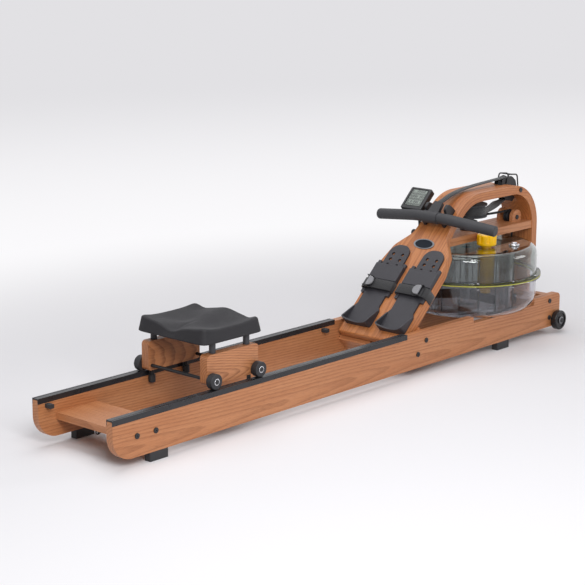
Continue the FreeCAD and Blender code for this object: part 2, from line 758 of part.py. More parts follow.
def drum_strap():
    """The same belt round the pulley and, turned a quarter, on to the drum."""
    half = belt_width / 2
    radius = pulley_radius - belt_thickness
    wrap = ring((pulley_x, -half, pulley_z), (0, 1, 0), pulley_radius, radius, belt_width)
    wrap = wrap.common(box(pulley_x, pulley_x + 2 * pulley_radius, -half, half, pulley_z - 60, pulley_z + 60))
    low = pulley_z - pulley_radius
    lead = box(pulley_x - 18.0, pulley_x, -half, half, low, low + belt_thickness)
    start = Vector(pulley_x - 18.0, 0, low + belt_thickness / 2)
    lap = drum_radius + gap + belt_thickness / 2
    touch = math.acos(lap / (start.x - tank_x))
    end = Vector(tank_x + lap * math.cos(touch), -lap * math.sin(touch), (drum_bottom + drum_top) / 2)
    steps = 10
    sections = []
    for step in range(steps + 1):
        share = step / steps
        middle = start + (end - start) * share
        done = min(1.0, share / 0.8)
        turn = math.radians(90 * (3 * done ** 2 - 2 * done ** 3))
        wide = Vector(0, math.cos(turn), math.sin(turn)) * half
        thick = Vector(0, -math.sin(turn), math.cos(turn)) * (belt_thickness / 2)
        corners = [middle - wide - thick, middle + wide - thick, middle + wide + thick, middle - wide + thick]
        sections.append(Part.makePolygon(corners + corners[:1]))
    run = Part.makeLoft(sections, True, True)
    return [wrap.fuse(lead).removeSplitter(), run]


def anchor_x():
    """Where the bungee's hook is screwed into the rear plank."""
    return rear + plank_inset + plank_length * 0.2


def bungee_cord():
    """From the spool over the ear pulley, down the leg and back under the seat."""
    points = [Vector(tank_x, spool_radius + cord_radius + gap, spool_z), Vector(ear_x - 50.0, 0, spool_z),
              Vector(cord_down_x, 0, spool_z),
              Vector(cord_down_x, 0, low_pulley_z - cord_bend),
              Vector(anchor_x() + 12.0, 0, plank_z - 14.0)]
    return sweep_round(points, [0, 120.0, cord_bend, cord_bend, 0], cord_radius)


def cord_anchor():
    """A steel eye screwed into the plank, with the cord's end clamp."""
    x = anchor_x()
    z = plank_z - 14.0
    eye = Part.makeTorus(7.0, 1.8, Vector(x, 0, z), Vector(0, 1, 0))
    stem = rod((x, 0, z + 6.5), (0, 0, 1), 2.0, 7.5 + plank_thickness / 2)
    clamp = rod((x + 3.0, 0, z), (1, 0, 0), 6.0, 9.0)
    return eye.fuse(stem).fuse(clamp)


# ---------------------------------------------------------------- handle
yoke_end = handle_along + 62.0
yoke_above = handle_above - 3.0


def handle_middle():
    """The middle of the handle's bar."""
    return board_point(handle_along, 0, handle_above)


def handle_bar():
    """A round bar, straight in the middle and swept forward to its ends."""
    middle = handle_middle()
    tip = handle_half - 2.0
    points = [middle + Vector(handle_sweep, -tip, -handle_drop), middle + Vector(2.0, -grip_y, -1.0),
              middle + Vector(2.0, grip_y, -1.0), middle + Vector(handle_sweep, tip, -handle_drop)]
    return sweep_round(points, [0, 200.0, 200.0, 0], bar_radius)


def handle_grips():
    """Two rubber grips over the bar's ends, and the sleeve between them."""
    middle = handle_middle()
    inner = middle + Vector(2.0, sleeve_half + gap, -1.0)
    bend = middle + Vector(2.0, grip_y, -1.0)
    tip = middle + Vector(handle_sweep, handle_half - 2.0, -handle_drop)
    outer = tip + (tip - bend).normalize() * 2.0
    grip = sweep_round([inner, bend, outer], [0, 200.0, 0], grip_radius)
    rims = [edge for edge in grip.Edges if edge.CenterOfMass.distanceToPoint(outer) < 1.0]
    grip = grip.makeFillet(4.0, rims).cut(handle_bar())
    sleeve = ring((middle.x + 2.0, -sleeve_half, middle.z - 1.0), (0, 1, 0), sleeve_radius, bar_radius,
                  2 * sleeve_half)
    return pair(grip) + [sleeve]


def handle_yoke():
    """The clip that joins the handle's sleeve to the belt."""
    start = handle_along + sleeve_radius - 8.0
    low = yoke_above - 5.0
    plan = [(start, -22.0, 4.0), (yoke_end - 16.0, -18.0, 8.0), (yoke_end - gap, -16.0, 3.0),
            (yoke_end - gap, 16.0, 3.0), (yoke_end - 16.0, 18.0, 8.0), (start, 22.0, 4.0)]
    body = on_board(flat_plate(plan, low, low + 14.0))
    middle = handle_middle()
    return body.cut(rod((middle.x + 2.0, -30, middle.z - 1.0), (0, 1, 0), sleeve_radius, 60)).removeSplitter()


def handle_rest():
    """Two cheeks on the neck that the handle's grips lie against."""
    made = []
    cradle = handle_above - grip_radius - 3.2
    shoulder_x = handle_along + grip_radius + 4.0
    corners = [(handle_along - 8.0, 0.0, 0), (handle_along + 66.0, 0.0, 0), (handle_along + 62.0, 26.0, 8.0),
               (handle_along + 56.0, 46.0, 12.0), (shoulder_x + 12.0, 46.0, 8.0), (shoulder_x, cradle, 3.0),
               (handle_along - 6.0, cradle, 3.0)]
    for y in (34.0, -44.0):
        cheek = plate(corners, lambda u, v, y=y: Vector(u, y, v), Vector(0, 10.0, 0))
        made.append(on_board(cheek).cut(bend_waste()))
    return made


def bend_waste():
    """Everything at and under the face of the bent board."""
    return side_plate(bentwood_outline(), -board_half_width, board_half_width)


# ---------------------------------------------------------------- foot rests
def footrest_cover():
    """A bridge over the sliding plate, with a runner along each side of the plate."""
    half = cover_width / 2
    cover_end = cover_start + cover_length
    body = rounded_box(cover_start, cover_end, rest_y - half, rest_y + half, 0, cover_height, 4.0)
    edges = [edge for edge in body.Edges if abs(edge.CenterOfMass.z - cover_height) < 0.01]
    body = body.makeFillet(2.5, edges)
    tunnel = slider_lower_width / 2 + 1.0
    for y in (rest_y - half, rest_y + tunnel):
        body = body.fuse(rounded_box(runner_start, runner_end, y, y + half - tunnel, 0, runner_height, 2.0))
    body = body.cut(box(cover_start - 1, cover_end + 1, rest_y - tunnel, rest_y + tunnel,
                        -1, slider_thickness + 2.0))
    return on_board(body.removeSplitter())


def heel_slider():
    """The plate with its row of holes and the heel cup at its lower end."""
    base = gap
    top = base + slider_thickness
    narrow = slider_width / 2
    wide = slider_lower_width / 2
    cup = cup_width / 2
    flare = cup_start + 66.0
    outline = [(slider_top, -narrow, 34.0), (slider_top, narrow, 34.0), (cover_start - 18.0, wide, 30.0),
               (flare + 14.0, wide, 10.0), (flare, cup, 8.0), (cup_start, cup, cup_corner),
               (cup_start, -cup, cup_corner), (flare, -cup, 8.0), (flare + 14.0, -wide, 10.0),
               (cover_start - 18.0, -wide, 30.0)]
    body = plate(outline, lambda u, v: Vector(u, rest_y + v, base), Vector(0, 0, slider_thickness))
    for step in range(3):
        for side in (-1, 1):
            centre = (slider_top - 38.0 - step * 22.5, rest_y + side * 19.0, base - 1)
            body = body.cut(rod(centre, (0, 0, 1), 6.0, slider_thickness + 2))
    shell = [(flare, cup, 3.0), (cup_start, cup, cup_corner),
             (cup_start, -cup, cup_corner), (flare, -cup, 3.0)]
    bend = cup_corner - cup_wall
    inside = cup - cup_wall
    inner = [(flare + 1, inside, 0), (cup_start + cup_wall, inside, bend),
             (cup_start + cup_wall, -inside, bend), (flare + 1, -inside, 0)]
    walls = plate(shell, lambda u, v: Vector(u, rest_y + v, top), Vector(0, 0, cup_height))
    walls = walls.cut(plate(inner, lambda u, v: Vector(u, rest_y + v, top), Vector(0, 0, cup_height)))
    rim = top + cup_height
    slope = [(flare + 2, top + 1.0, 0), (flare + 2, rim + 1, 0), (cup_start + 8.0, rim + 1, 0),
             (cup_start + 8.0, rim, 0)]
    walls = walls.cut(plate(slope, lambda u, v: Vector(u, 0, v), Vector(0, 2 * board_half_width, 0)))
    scoop = (inside ** 2 + cup_dip ** 2) / (2 * cup_dip)
    dip = rod((cup_start - 1, rest_y, rim - cup_dip + scoop), (1, 0, 0), scoop, cup_corner)
    return on_board(body.fuse(walls.cut(dip)).removeSplitter())


def arch_points(lift):
    """The strap's path across one foot rest, as (y, above) corners and bends."""
    inner = rest_y - cover_width / 2 - 1.5 - lift
    outer = board_half_width + gap + lift
    top = gap + slider_thickness + strap_rise + lift
    return [(inner, 0.0, 0.0), (inner, top, 8.0), (outer, top, 10.0), (outer, 4.0 - board_thickness, 0.0)]


def foot_strap():
    """Webbing over the foot, from the middle of the board round its side edge."""
    outside = arch_points(strap_thickness)
    inside = arch_points(0.0)
    corners = outside + inside[::-1]
    body = plate(corners, lambda u, v: Vector(strap_start, u, v), Vector(strap_width, 0, 0))
    return on_board(body)


def buckle_frame():
    """Axes of the buckle on top of the strap, its tab towards the middle of the board."""
    top = arch_points(strap_thickness)[1][1]
    place = Vector(strap_start + strap_width / 2, buckle_y, top)
    return Placement(place, Rotation(Vector(0, 0, 1), 180))


def strap_buckle():
    """The cam buckle's body: a base plate with two cheeks."""
    body = rounded_box(-21.0, 21.0, -15.0, 15.0, gap, 2.5, 4.0)
    for x in (-21.0, 18.0):
        body = body.fuse(rounded_box(x, x + 3.0, -13.0, 9.0, gap, 13.0, 1.0))
    body = body.cut(rod((-30, 0, 8.0), (1, 0, 0), 2.0, 60))
    body = body.removeSplitter()
    body.Placement = buckle_frame()
    return on_board(body)


def buckle_lever():
    """The cam buckle's lever with its rounded thumb tab and its pin."""
    cam = rod((-17.5, 0, 8.0), (1, 0, 0), 5.0, 35.0)
    tab = [(-17.0, 0.0, 0), (17.0, 0.0, 0), (17.0, 20.0, 16.0), (-17.0, 20.0, 16.0)]
    cam = cam.fuse(flat_plate(tab, 8.0, 12.0)).fuse(rod((-20.5, 0, 8.0), (1, 0, 0), 2.0 - fit, 41.0))
    cam = cam.removeSplitter()
    cam.Placement = buckle_frame()
    return on_board(cam)


def badge_plate():
    """An oval plate on the neck, left bare."""
    rim = Part.Wire(Part.Ellipse(Vector(0, 0, 0), 41.0, 20.0).toShape())
    body = Part.Face(rim).extrude(Vector(0, 0, 2.5))
    body.Placement = Placement(Vector(badge_along, 0, 0), Rotation(Vector(0, 0, 1), 90))
    return on_board(body)


# ---------------------------------------------------------------- monitor
def arm_pivot():
    """Where the monitor's arm swings on the neck's left edge."""
    return board_point(arm_along, neck_half_width + 2.0, -board_thickness / 2)


def tilt_pivot():
    """Where the monitor tilts on the end of its arm."""
    return board_point(monitor_along - 6.0, monitor_y, monitor_above - monitor_thickness / 2 - 8.0)


def monitor_pivot():
    """The fixed stud in the neck's edge that the arm swings on."""
    at = arm_pivot()
    size = stud_depth + collar_height + arm_boss + 2.0
    stud = rod((at.x, at.y - stud_depth, at.z), (0, 1, 0), stud_radius, size)
    head = rod((at.x, at.y + collar_height + arm_boss + 2 * gap, at.z), (0, 1, 0), 8.0, 3.0)
    return stud.fuse(rod((at.x, at.y, at.z), (0, 1, 0), collar_radius, collar_height)).fuse(head)


def monitor_arm():
    """The bent arm from the neck's edge to the monitor's back."""
    at = arm_pivot()
    start = at.y + collar_height + gap
    boss = rod((at.x, start, at.z), (0, 1, 0), 11.0, arm_boss)
    end = tilt_pivot()
    low = -board_thickness / 2
    y = start + arm_boss - arm_radius
    points = [board_point(arm_along + 4.0, y, low - 6.0), board_point(arm_along + 26.0, y + 2.0, low - 20.0),
              board_point(arm_along + 74.0, monitor_y, low - 14.0), Vector(end.x, monitor_y, end.z)]
    bar = sweep_round(points, [0, 14.0, 18.0, 0], arm_radius)
    barrel = rod((end.x, monitor_y - 9.0, end.z), (0, 1, 0), 7.0, 18.0)
    body = boss.fuse(bar).fuse(barrel)
    body = body.cut(rod((end.x, monitor_y - 10.0, end.z), (0, 1, 0), 3.0 + fit, 20.0))
    return body.cut(rod((at.x, at.y, at.z), (0, 1, 0), stud_radius + fit, 30.0)).removeSplitter()


def monitor_case():
    """The monitor's housing with the two hinge ears on its back."""
    half = monitor_width / 2
    low = monitor_above - monitor_thickness / 2
    high = low + monitor_thickness
    body = rounded_box(monitor_along - monitor_height / 2, monitor_along + monitor_height / 2,
                       monitor_y - half, monitor_y + half, low, high, 6.0)
    rims = [edge for edge in body.Edges if abs(edge.CenterOfMass.z - high) < 0.01
            or abs(edge.CenterOfMass.z - low) < 0.01]
    body = body.makeFillet(3.0, rims)
    window = rounded_box(monitor_along - 34.0, monitor_along + 38.0, monitor_y - half + 9.0,
                         monitor_y + half - 9.0, high - 1.5, high + 1, 3.0)
    body = on_board(body.cut(window))
    at = tilt_pivot()
    for y in (monitor_y - 9.0 - gap - 4.0, monitor_y + 9.0 + gap):
        ear = rounded_box(monitor_along - 13.0, monitor_along + 1.0, y, y + 4.0, low - 15.0, low + 1.0, 1.5)
        body = body.fuse(on_board(ear))
    pin = rod((at.x, monitor_y - 13.0, at.z), (0, 1, 0), 3.0, 26.0)
    return body.fuse(pin).removeSplitter()


# ---------------------------------------------------------------- seat and carriage
def seat_pad():
    """The contoured seat: wider at its base, hollowed under each thigh."""
    x0 = seat_x - seat_half_length
    x1 = seat_x + seat_half_length
    body = rounded_box(x0, x1, -seat_half_width, seat_half_width, seat_bottom, seat_top, 38.0)
    rim = [edge for edge in body.Edges if abs(edge.CenterOfMass.z - seat_top) < 0.01]
    body = body.makeFillet(9.0, rim)
    for y in (-62.0, 62.0):
        bowl = Part.makeSphere(190.0, Vector(seat_x + 6.0, y, seat_top + 177.0))
        body = body.cut(bowl)
    return body


def seat_posts():
    """Four round posts between the carriage and the seat."""
    posts = []
    for x in (seat_x - post_x, seat_x + post_x):
        posts += pair(rod((x, post_y, panel_top), (0, 0, 1), post_radius, seat_bottom - panel_top))
    return posts


def carriage_panels():
    """The two wooden cheeks of the carriage, with holes for its axles."""
    x0 = seat_x - panel_half_length
    x1 = seat_x + panel_half_length
    corners = [(x0, panel_bottom, 10.0), (x1, panel_bottom, 10.0),
               (x1, panel_top, 12.0), (x0, panel_top, 12.0)]
    panel = side_plate(corners, panel_y, panel_y + panel_thickness)
    for side in (-1, 1):
        x = seat_x + side * seat_wheel_x
        panel = panel.cut(rod((x, 0, seat_axle_z), (0, 1, 0), axle_radius, outer_y))
        x = seat_x + side * roller_x
        panel = panel.cut(rod((x, roller_y, panel_bottom - 1), (0, 0, 1), 3.0, embed + 1))
    return pair(panel)


def carriage_axles():
    """Two cross rods with end caps, and the four pins of the guide rollers."""
    made = []
    end = wheel_y() + seat_wheel_width + gap
    for side in (-1, 1):
        x = seat_x + side * seat_wheel_x
        bar = rod((x, -end, seat_axle_z), (0, 1, 0), axle_radius, 2 * end)
        for way in (-1, 1):
            bar = bar.fuse(rod((x, way * end, seat_axle_z), (0, way, 0), 7.0, 1.5))
        made.append(bar)
    for side in (-1, 1):
        x = seat_x + side * roller_x
        low = roller_bottom - gap
        high = roller_top + gap
        pin = rod((x, roller_y, low), (0, 0, 1), 3.0, panel_bottom + embed - low)
        pin = pin.fuse(rod((x, roller_y, low - 2.0), (0, 0, 1), 6.0, 2.0))
        made += pair(pin.fuse(rod((x, roller_y, high), (0, 0, 1), 6.0, panel_bottom - high)))
    return made


def wheel_y():
    """Inner face of the seat wheels."""
    return panel_y + panel_thickness + 3.5


def seat_wheels(side):
    """Both wheels of one axle, which roll on the rail caps."""
    x = seat_x + side * seat_wheel_x
    bore = axle_radius + fit
    tyre = ring((x, wheel_y(), seat_axle_z), (0, 1, 0), seat_wheel_radius, bore, seat_wheel_width)
    rims = [edge for edge in tyre.Edges if edge.Curve.TypeId == "Part::GeomCircle"
            and edge.Curve.Radius > seat_wheel_radius - 1]
    return pair(tyre.makeFillet(2.5, rims))


def guide_roller(along, across):
    """One upright-axis roller that runs on the inner face of a rail."""
    x = seat_x + along * roller_x
    y = across * roller_y
    return ring((x, y, roller_bottom), (0, 0, 1), roller_radius, 3.0 + fit, roller_top - roller_bottom)


def transport_wheel():
    """A front wheel for tipping the machine up and rolling it away."""
    y = outer_y + 2.0
    tyre = ring((wheel_x, y, wheel_z), (0, 1, 0), wheel_radius, axle_radius + fit, wheel_width)
    rims = [edge for edge in tyre.Edges if edge.Curve.TypeId == "Part::GeomCircle"
            and edge.Curve.Radius > wheel_radius - 1]
    tyre = tyre.makeFillet(5.0, rims)
    dish = ring((wheel_x, y + wheel_width - 3.0, wheel_z), (0, 1, 0), wheel_radius - 9.0, 12.0, 4.0)
    return tyre.cut(dish)


# ---------------------------------------------------------------- writing the pieces
def save(name, *shapes):
    """Writes the solids of one node."""
    solids = [solid for shape in shapes for solid in shape.Solids]
    for solid in solids:
        if not solid.isValid():
            print("not valid:", name)
    shape = solids[0] if len(solids) == 1 else Part.makeCompound(solids)
    shape.exportStep("parts/" + name + ".step")
    print(name, len(solids), round(shape.Volume / 1000, 1), "cm3")


def main():
    os.makedirs("parts", exist_ok=True)
    save("left_rail", rail())
    save("right_rail", mirrored(rail()))
    save("rail_caps", *pair(rail_cap()))
    save("rubber_pads", *rubber_pads())
    save("stop_blocks", *stop_blocks())
    save("rear_cross_plank", rear_cross_plank())
    save("front_cross_board", front_cross_board())
    save("footboard_block", footboard_block())
    save("bolts", *bolts())
    save("bentwood_frame", bentwood_frame())
    save("crossbar", crossbar())
    save("pulley_ears", *pulley_ears())
    save("tank_lower_bowl", tank_lower_bowl())
    save("tank_upper_bowl", tank_upper_bowl())
    save("tank_gasket", tank_gasket())
    save("inner_chamber", inner_chamber())
    save("valve_tube", valve_tube())
    save("level_knob", level_knob())
    save("shaft_bearings", *shaft_bearings())
    save("impeller_shaft", impeller_shaft())
    save("impeller", impeller())
    save("belt_drum", belt_drum())
    save("belt_pulley", belt_pulley())
    save("ear_pulley", cord_pulley(ear_x, ear_axle_z))
    save("lower_pulley", cord_pulley(ear_x, low_pulley_z))
    save("pulley_axles", *pulley_axles())
    save("pulley_brackets", *pulley_brackets())
    save("belt_guard", belt_guard())
    save("pull_strap", pull_strap())
    save("drum_strap", *drum_strap())
    save("bungee_cord", bungee_cord())
    save("cord_anchor", cord_anchor())
    save("handle_bar", handle_bar())
    save("handle_grips", *handle_grips())
    save("handle_yoke", handle_yoke())
    save("handle_rest", *handle_rest())
    save("footrest_covers", *pair(footrest_cover()))
    save("left_heel_slider", heel_slider())
    save("right_heel_slider", mirrored(heel_slider()))
    save("foot_straps", *pair(foot_strap()))
    save("strap_buckles", *pair(strap_buckle()))
    save("left_buckle_lever", buckle_lever())
    save("right_buckle_lever", mirrored(buckle_lever()))
    save("badge_plate", badge_plate())
    save("monitor_pivot", monitor_pivot())
    save("monitor_arm", monitor_arm())
    save("monitor_case", monitor_case())
    save("seat_pad", seat_pad())
    save("seat_posts", *seat_posts())
    save("carriage_panels", *carriage_panels())
    save("carriage_axles", *carriage_axles())
    save("front_seat_wheels", *seat_wheels(1))
    save("rear_seat_wheels", *seat_wheels(-1))
    for along, end in ((1, "front"), (-1, "rear")):
        for across, hand in ((1, "left"), (-1, "right")):
            save(end + "_" + hand + "_guide_roller", guide_roller(along, across))
    save("left_transport_wheel", transport_wheel())
    save("right_transport_wheel", mirrored(transport_wheel()))


main()
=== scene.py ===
import bpy
import math
import numpy as np
from mathutils import Matrix, Vector


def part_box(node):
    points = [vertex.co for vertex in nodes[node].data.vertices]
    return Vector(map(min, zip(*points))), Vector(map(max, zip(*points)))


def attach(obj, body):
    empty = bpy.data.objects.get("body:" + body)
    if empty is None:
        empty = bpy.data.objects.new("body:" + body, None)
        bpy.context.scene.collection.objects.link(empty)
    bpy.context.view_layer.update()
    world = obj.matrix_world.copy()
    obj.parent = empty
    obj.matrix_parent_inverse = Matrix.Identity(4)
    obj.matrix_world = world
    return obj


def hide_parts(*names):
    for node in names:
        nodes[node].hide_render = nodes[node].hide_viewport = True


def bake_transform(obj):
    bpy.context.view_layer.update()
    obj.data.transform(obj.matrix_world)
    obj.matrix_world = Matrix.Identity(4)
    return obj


# The looks of a wooden rowing machine with a clear water tank.  Metres; X runs
# from the rear of the rails to the front, Y to the rower's left, Z up.

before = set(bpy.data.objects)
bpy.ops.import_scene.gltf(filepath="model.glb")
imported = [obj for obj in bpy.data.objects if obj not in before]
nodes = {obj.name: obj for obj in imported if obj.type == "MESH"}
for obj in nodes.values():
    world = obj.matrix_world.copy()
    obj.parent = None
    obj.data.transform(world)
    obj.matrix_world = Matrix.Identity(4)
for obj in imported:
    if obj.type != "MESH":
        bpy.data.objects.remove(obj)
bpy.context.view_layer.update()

# ---------------------------------------------------------------- places read from the frame
BOARD_ANGLE = math.radians(43.5)
BOARD_LENGTH = 0.601           # of the footboard's straight incline
HOOP_LENGTH = 0.4056           # from where the incline would meet the top to the leg
ALONG = Vector((math.cos(BOARD_ANGLE), 0, math.sin(BOARD_ANGLE)))
ABOVE = Vector((-math.sin(BOARD_ANGLE), 0, math.cos(BOARD_ANGLE)))
frame_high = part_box("bentwood_frame")[1]
HOOP_TOP = frame_high.z
LEG_X = frame_high.x
BOARD_START = Vector((LEG_X - HOOP_LENGTH, 0, HOOP_TOP)) - ALONG * BOARD_LENGTH


def board_point(along, across, above):
    """A point along the footboard from its lower end, across it and above its face."""
    return BOARD_START + ALONG * along + Vector((0, across, 0)) + ABOVE * above


# ---------------------------------------------------------------- node tree helpers
def add_node(tree, kind, **settings):
    """A shader node with its properties set."""
    node = tree.nodes.new(kind)
    for key, value in settings.items():
        setattr(node, key, value)
    return node


def feed(tree, socket, source):
    """Sets a socket to a value, or links it to another node's output."""
    if isinstance(source, bpy.types.NodeSocket):
        tree.links.new(source, socket)
    else:
        socket.default_value = source


def sums(tree, operation, *sources, clamp=False):
    """The result of a Math node."""
    node = add_node(tree, "ShaderNodeMath", operation=operation, use_clamp=clamp)
    for socket, source in zip(node.inputs, sources):
        feed(tree, socket, source)
    return node.outputs[0]


def vector_sums(tree, operation, *sources):
    """The vector result of a Vector Math node."""
    node = add_node(tree, "ShaderNodeVectorMath", operation=operation)
    for socket, source in zip(node.inputs, sources):
        feed(tree, socket, source)
    return node.outputs["Value"] if operation in ("LENGTH", "DOT_PRODUCT") else node.outputs["Vector"]


def noise(tree, vector, scale, detail=3.0, roughness=0.5):
    """A noise value from 0 to 1."""
    node = add_node(tree, "ShaderNodeTexNoise")
    feed(tree, node.inputs["Vector"], vector)
    node.inputs["Scale"].default_value = scale
    node.inputs["Detail"].default_value = detail
    node.inputs["Roughness"].default_value = roughness
    return node.outputs["Fac"]


def spread(tree, value, low, high, to_low=0.0, to_high=1.0):
    """A value moved smoothly from one range to another."""
    node = add_node(tree, "ShaderNodeMapRange", interpolation_type="SMOOTHSTEP")
    ends = (("Value", value), ("From Min", low), ("From Max", high), ("To Min", to_low), ("To Max", to_high))
    for name, source in ends:
        feed(tree, node.inputs[name], source)
    return node.outputs["Result"]


def blend_colors(tree, factor, first, second, kind="MIX"):
    """Two colours mixed."""
    node = add_node(tree, "ShaderNodeMix", data_type="RGBA", blend_type=kind)
    feed(tree, node.inputs[0], factor)
    feed(tree, node.inputs[6], first)
    feed(tree, node.inputs[7], second)
    return node.outputs[2]


def rgb(red, green, blue):
    """A display colour from 0 to 255 as the linear colour that shaders use."""
    def linear(value):
        share = value / 255
        return share / 12.92 if share <= 0.04045 else ((share + 0.055) / 1.055) ** 2.4
    return (linear(red), linear(green), linear(blue), 1.0)


def new_group(name, inputs, outputs):
    """An empty node group; inputs and outputs are (name, socket kind, default)."""
    tree = bpy.data.node_groups.new(name, "ShaderNodeTree")
    for title, kind, default in inputs:
        socket = tree.interface.new_socket(title, in_out="INPUT", socket_type=kind)
        if default is not None:
            socket.default_value = default
    for title, kind in outputs:
        tree.interface.new_socket(title, in_out="OUTPUT", socket_type=kind)
    source = tree.nodes.new("NodeGroupInput")
    sink = tree.nodes.new("NodeGroupOutput")
    return tree, source.outputs, sink.inputs


def place_group(tree, group, **values):
    """A copy of a group in a tree, with its inputs set by name."""
    node = add_node(tree, "ShaderNodeGroup", node_tree=group)
    for title, value in values.items():
        feed(tree, node.inputs[title.replace("_", " ")], value)
    return node.outputs


def new_material(name, color, roughness, metallic=0.0, specular=0.5):
    """A material with its principled shader's plain values set."""
    material = bpy.data.materials.new(name)
    material.use_nodes = True
    tree = material.node_tree
    shader = tree.nodes["Principled BSDF"]
    shader.inputs["Base Color"].default_value = color
    shader.inputs["Roughness"].default_value = roughness
    shader.inputs["Metallic"].default_value = metallic
    shader.inputs["Specular IOR Level"].default_value = specular
    return material, tree, shader


def object_place(tree):
    """Object coordinates."""
    return add_node(tree, "ShaderNodeTexCoord").outputs["Object"]


def bump(tree, shader, height, distance, strength=1.0):
    """Feeds a height to the shader's normal."""
    node = add_node(tree, "ShaderNodeBump")
    node.inputs["Distance"].default_value = distance
    node.inputs["Strength"].default_value = strength
    feed(tree, node.inputs["Height"], height)
    feed(tree, shader.inputs["Normal"], node.outputs["Normal"])


# ---------------------------------------------------------------- effects shared by materials
def wood_figure_group():
    """Growth rings of a plank cut near a trunk's heart, which lies along X.  The rings
    are the distance to the heart plus a taper along X, so that a flat face shows long
    pointed arches, bent by noise that is stretched along the grain.  Each ring is a
    thin dark line.  Short pores and slow changes of tone run along X too."""
    tree, given, out = new_group(
        "wood_figure",
        [("Vector", "NodeSocketVector", None), ("Heart", "NodeSocketVector", (0, 0, 0)),
         ("Ring Spacing", "NodeSocketFloat", 0.006), ("Wander", "NodeSocketFloat", 0.02),
         ("Taper", "NodeSocketFloat", 0.02)],
        [("Rings", "NodeSocketFloat"), ("Pores", "NodeSocketFloat"), ("Tone", "NodeSocketFloat")])
    place = given["Vector"]
    from_heart = vector_sums(tree, "SUBTRACT", place, given["Heart"])
    flat = vector_sums(tree, "MULTIPLY", from_heart, (0.0, 1.0, 1.0))
    distance = vector_sums(tree, "LENGTH", flat)
    parts = add_node(tree, "ShaderNodeSeparateXYZ")
    feed(tree, parts.inputs[0], place)
    drift = noise(tree, vector_sums(tree, "MULTIPLY", place, (0.22, 1.0, 1.0)), 9.0, 3.0)
    ripple = noise(tree, vector_sums(tree, "MULTIPLY", place, (0.35, 1.0, 1.0)), 60.0, 2.0)
    bent = sums(tree, "MULTIPLY_ADD", sums(tree, "SUBTRACT", drift, 0.5), given["Wander"], distance)
    bent = sums(tree, "MULTIPLY_ADD", parts.outputs[0], given["Taper"], bent)
    bent = sums(tree, "MULTIPLY_ADD", ripple, 0.0016, bent)
    phase = sums(tree, "FRACT", sums(tree, "DIVIDE", bent, given["Ring Spacing"]))
    rise = spread(tree, phase, 0.35, 0.9)
    fall = spread(tree, phase, 0.92, 1.0, 1.0, 0.0)
    streak = noise(tree, vector_sums(tree, "MULTIPLY", place, (0.02, 1.0, 1.0)), 420.0, 3.0, 0.6)
    broken = spread(tree, streak, 0.2, 0.7, 0.45, 1.0)
    lines = sums(tree, "MULTIPLY", sums(tree, "MULTIPLY", rise, fall), broken)
    feed(tree, out["Rings"], lines)
    fine = noise(tree, vector_sums(tree, "MULTIPLY", place, (0.05, 1.0, 1.0)), 900.0, 2.0, 0.6)
    late = spread(tree, phase, 0.0, 0.9, 0.4, 1.0)
    feed(tree, out["Pores"], sums(tree, "MULTIPLY", spread(tree, fine, 0.52, 0.68), late))
    broad = noise(tree, vector_sums(tree, "MULTIPLY", place, (0.12, 1.0, 1.0)), 22.0, 4.0, 0.6)
    feed(tree, out["Tone"], sums(tree, "MULTIPLY_ADD", streak, 0.45, sums(tree, "MULTIPLY", broad, 0.55)))
    return tree


def surface_grain_group():
    """A fine moulded grain as a height, and faint uneven handling marks as a mask."""
    tree, given, out = new_group(
        "surface_grain",
        [("Vector", "NodeSocketVector", None), ("Size", "NodeSocketFloat", 900.0)],
        [("Height", "NodeSocketFloat"), ("Marks", "NodeSocketFloat")])
    fine = add_node(tree, "ShaderNodeTexVoronoi")
    feed(tree, fine.inputs["Vector"], given["Vector"])
    feed(tree, fine.inputs["Scale"], given["Size"])
    feed(tree, out["Height"], fine.outputs["Distance"])
    feed(tree, out["Marks"], noise(tree, given["Vector"], 14.0, 5.0, 0.6))
    return tree


def edge_wear_group():
    """A patchy mask that is high on sharp edges, where the bevelled normal leaves the
    true one."""
    tree, given, out = new_group(
        "edge_wear",
        [("Vector", "NodeSocketVector", None), ("Amount", "NodeSocketFloat", 0.5)],
        [("Wear", "NodeSocketFloat")])
    soft = add_node(tree, "ShaderNodeBevel", samples=4)
    soft.inputs["Radius"].default_value = 0.0012
    true_normal = add_node(tree, "ShaderNodeNewGeometry").outputs["Normal"]
    turn = vector_sums(tree, "DOT_PRODUCT", soft.outputs["Normal"], true_normal)
    edge = spread(tree, turn, 0.995, 0.9)
    patch = spread(tree, noise(tree, given["Vector"], 60.0, 4.0, 0.6), 0.4, 0.65)
    feed(tree, out["Wear"], sums(tree, "MULTIPLY", sums(tree, "MULTIPLY", edge, patch), given["Amount"]))
    return tree


def weave_group():
    """Webbing: a height that rises and falls across and along, once in each pitch of
    the first two coordinates, which are in metres."""
    tree, given, out = new_group(
        "weave",
        [("Vector", "NodeSocketVector", None), ("Pitch", "NodeSocketFloat", 0.0016)],
        [("Height", "NodeSocketFloat")])
    parts = add_node(tree, "ShaderNodeSeparateXYZ")
    feed(tree, parts.inputs[0], given["Vector"])
    turns = 2 * math.pi
    waves = []
    for distance in parts.outputs[:2]:
        threads = sums(tree, "DIVIDE", distance, given["Pitch"])
        waves.append(sums(tree, "SINE", sums(tree, "MULTIPLY", threads, turns)))
    height = sums(tree, "MULTIPLY_ADD", sums(tree, "MULTIPLY", *waves), 0.5, 0.5)
    feed(tree, out["Height"], height)
    return tree


WOOD_FIGURE = wood_figure_group()
SURFACE_GRAIN = surface_grain_group()
EDGE_WEAR = edge_wear_group()
WEAVE = weave_group()


